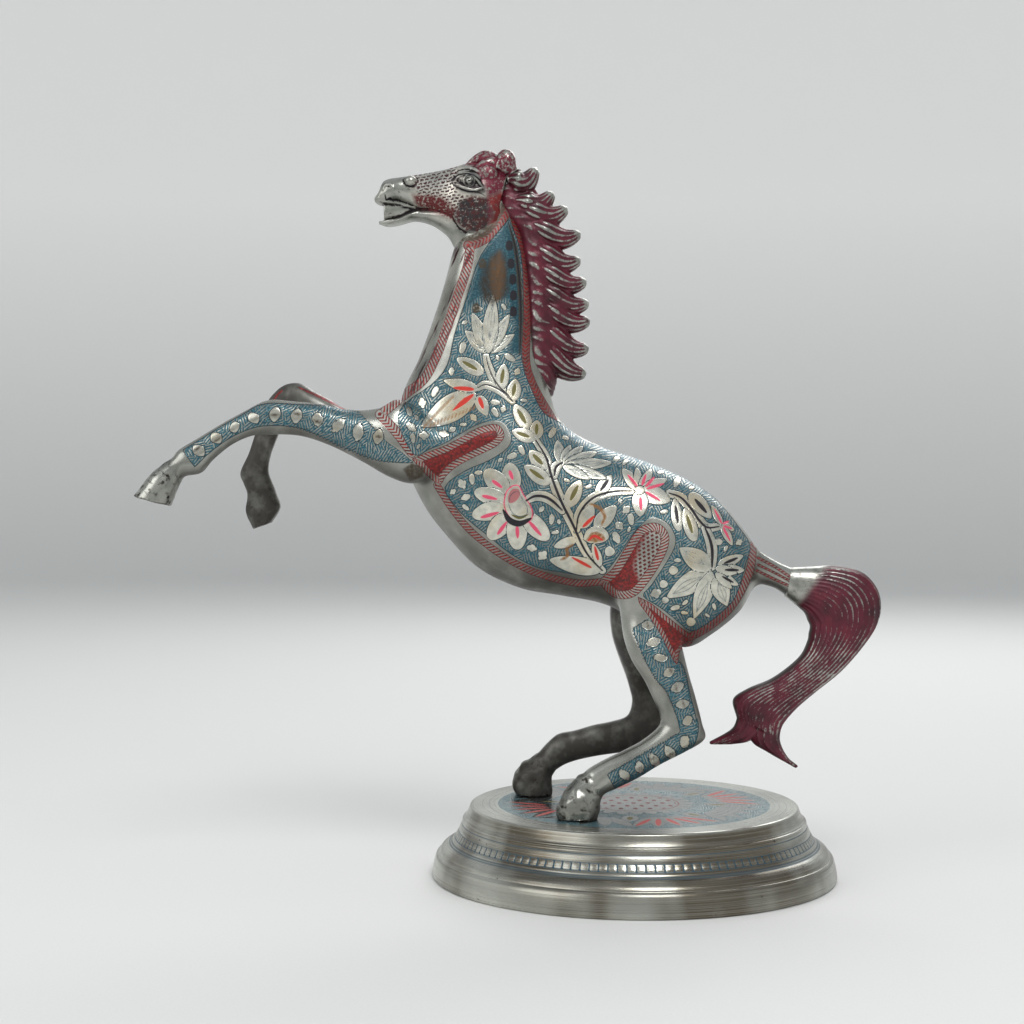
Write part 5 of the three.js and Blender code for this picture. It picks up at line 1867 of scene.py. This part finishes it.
def build_plinth():
    surface, fields = make_plinth()
    finish_piece(object_of("plinth_turning", surface, PLINTH_ORIGIN, fields), "base_plinth",
                 turned_plate("plinth_plate"))
    fastener = steel("screw_steel")
    for side in ("left", "right"):
        for kind in ("screw", "washer"):
            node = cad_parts[f"{side}_hoof_{kind}"]
            node.data.materials.clear()
            node.data.materials.append(fastener)


# Camera, light and floor
def make_camera():
    data = bpy.data.cameras.new("camera")
    data.sensor_width = SENSOR_WIDTH
    data.lens = SENSOR_WIDTH * CAMERA_DISTANCE / (PIXEL_AT_AXIS * PHOTO_SIZE)
    data.shift_y = (PHOTO_LEVEL_ROW - PHOTO_SIZE / 2) / PHOTO_SIZE
    data.clip_start = 0.01
    camera = bpy.data.objects.new("camera", data)
    camera.location = (PLINTH_ORIGIN + [-PHOTO_AXIS_OFFSET, -CAMERA_DISTANCE, CAMERA_HEIGHT]) * MM
    camera.rotation_euler = (math.pi / 2, 0, 0)
    bpy.context.scene.collection.objects.link(camera)
    bpy.context.scene.camera = camera


# Soft lamps: name, place, size and power, all turned towards one point
LAMPS = [
    ("key", (0.25, -1.05, 1.3), 0.6, 10),
    ("fill", (-1.1, -0.8, 0.8), 0.9, 5),
    ("back", (0.4, 1.1, 1.0), 0.8, 7),
]
LAMP_AIM = (0, 0, 0.15)


def make_lamp(name, place, size, watts):
    data = bpy.data.lights.new(name, "AREA")
    data.size = size
    data.energy = watts
    lamp = bpy.data.objects.new(name, data)
    lamp.location = place
    lamp.rotation_euler = (Vector(LAMP_AIM) - Vector(place)).to_track_quat("-Z", "Y").to_euler()
    bpy.context.scene.collection.objects.link(lamp)


# Floor that sweeps up into a low wall all round: radius of the flat, of the sweep, and height of the wall
FLOOR_RADIUS = 2.2
SWEEP_RADIUS = 0.8
WALL_HEIGHT = 1.6
WALL_GLOW = 0.26


def make_stage():
    bend = np.linspace(0, math.pi / 2, 16)
    sweep = np.column_stack([FLOOR_RADIUS + SWEEP_RADIUS * np.sin(bend), SWEEP_RADIUS * (1 - np.cos(bend))])
    profile = np.vstack([[[0.01, 0]], sweep, [[FLOOR_RADIUS + SWEEP_RADIUS, WALL_HEIGHT]]])
    turn = np.linspace(0, 2 * np.pi, 96, endpoint=False)
    vertices, faces = ring_mesh(turned_rings(profile[:, :1], profile[:, 1:], turn))
    floor_faces = [face for face in faces if len(vertices) - 1 not in face]
    mesh = new_mesh("floor", vertices[:-1], floor_faces)
    for face in mesh.polygons:
        face.use_smooth = True
    floor = bpy.data.objects.new("floor", mesh)
    bpy.context.scene.collection.objects.link(floor)
    finish = Finish("floor")
    paper = finish.patchy(900, 0.3, 0.7, detail=2.0)
    colour = finish.mix(paper, PAPER, PAPER_PALE)
    path = finish.new("LightPath").outputs
    seen = finish.most(path["Is Camera Ray"], path["Is Glossy Ray"], path["Is Transmission Ray"])
    wall = finish.ramp(finish.split(finish.place)[2], 0.0, 0.7, 0.0, WALL_GLOW)
    finish.shader.inputs["Emission Color"].default_value = (1, 1, 1, 1)
    finish.feed(finish.shader.inputs["Emission Strength"], finish.product(seen, wall))
    floor.data.materials.append(finish.done(colour, 0.0, 0.9, finish.bump(paper, 0.0001, 0.02)))


# Light from all round: dim at the horizon and bright overhead
HORIZON_LIGHT = (0.22, 0.23, 0.24, 1)
OVERHEAD_LIGHT = (0.56, 0.58, 0.60, 1)


def make_world():
    world = bpy.data.worlds.new("studio")
    world.use_nodes = True
    tree = world.node_tree
    place = tree.nodes.new("ShaderNodeTexCoord")
    height = tree.nodes.new("ShaderNodeSeparateXYZ")
    share = tree.nodes.new("ShaderNodeMapRange")
    sky = tree.nodes.new("ShaderNodeMix")
    sky.data_type = "RGBA"
    share.inputs["From Min"].default_value = 0.1
    share.inputs["From Max"].default_value = 0.8
    sky.inputs[COLOUR_A].default_value = HORIZON_LIGHT
    sky.inputs[COLOUR_B].default_value = OVERHEAD_LIGHT
    tree.links.new(place.outputs["Generated"], height.inputs[0])
    tree.links.new(height.outputs["Z"], share.inputs["Value"])
    tree.links.new(share.outputs[0], sky.inputs[0])
    tree.links.new(sky.outputs[COLOUR_RESULT], tree.nodes["Background"].inputs["Color"])
    bpy.context.scene.world = world


build_skin()
build_castings()
build_plinth()
make_camera()
for lamp in LAMPS:
    make_lamp(*lamp)
make_stage()
make_world()
bpy.context.scene.view_settings.view_transform = "Standard"
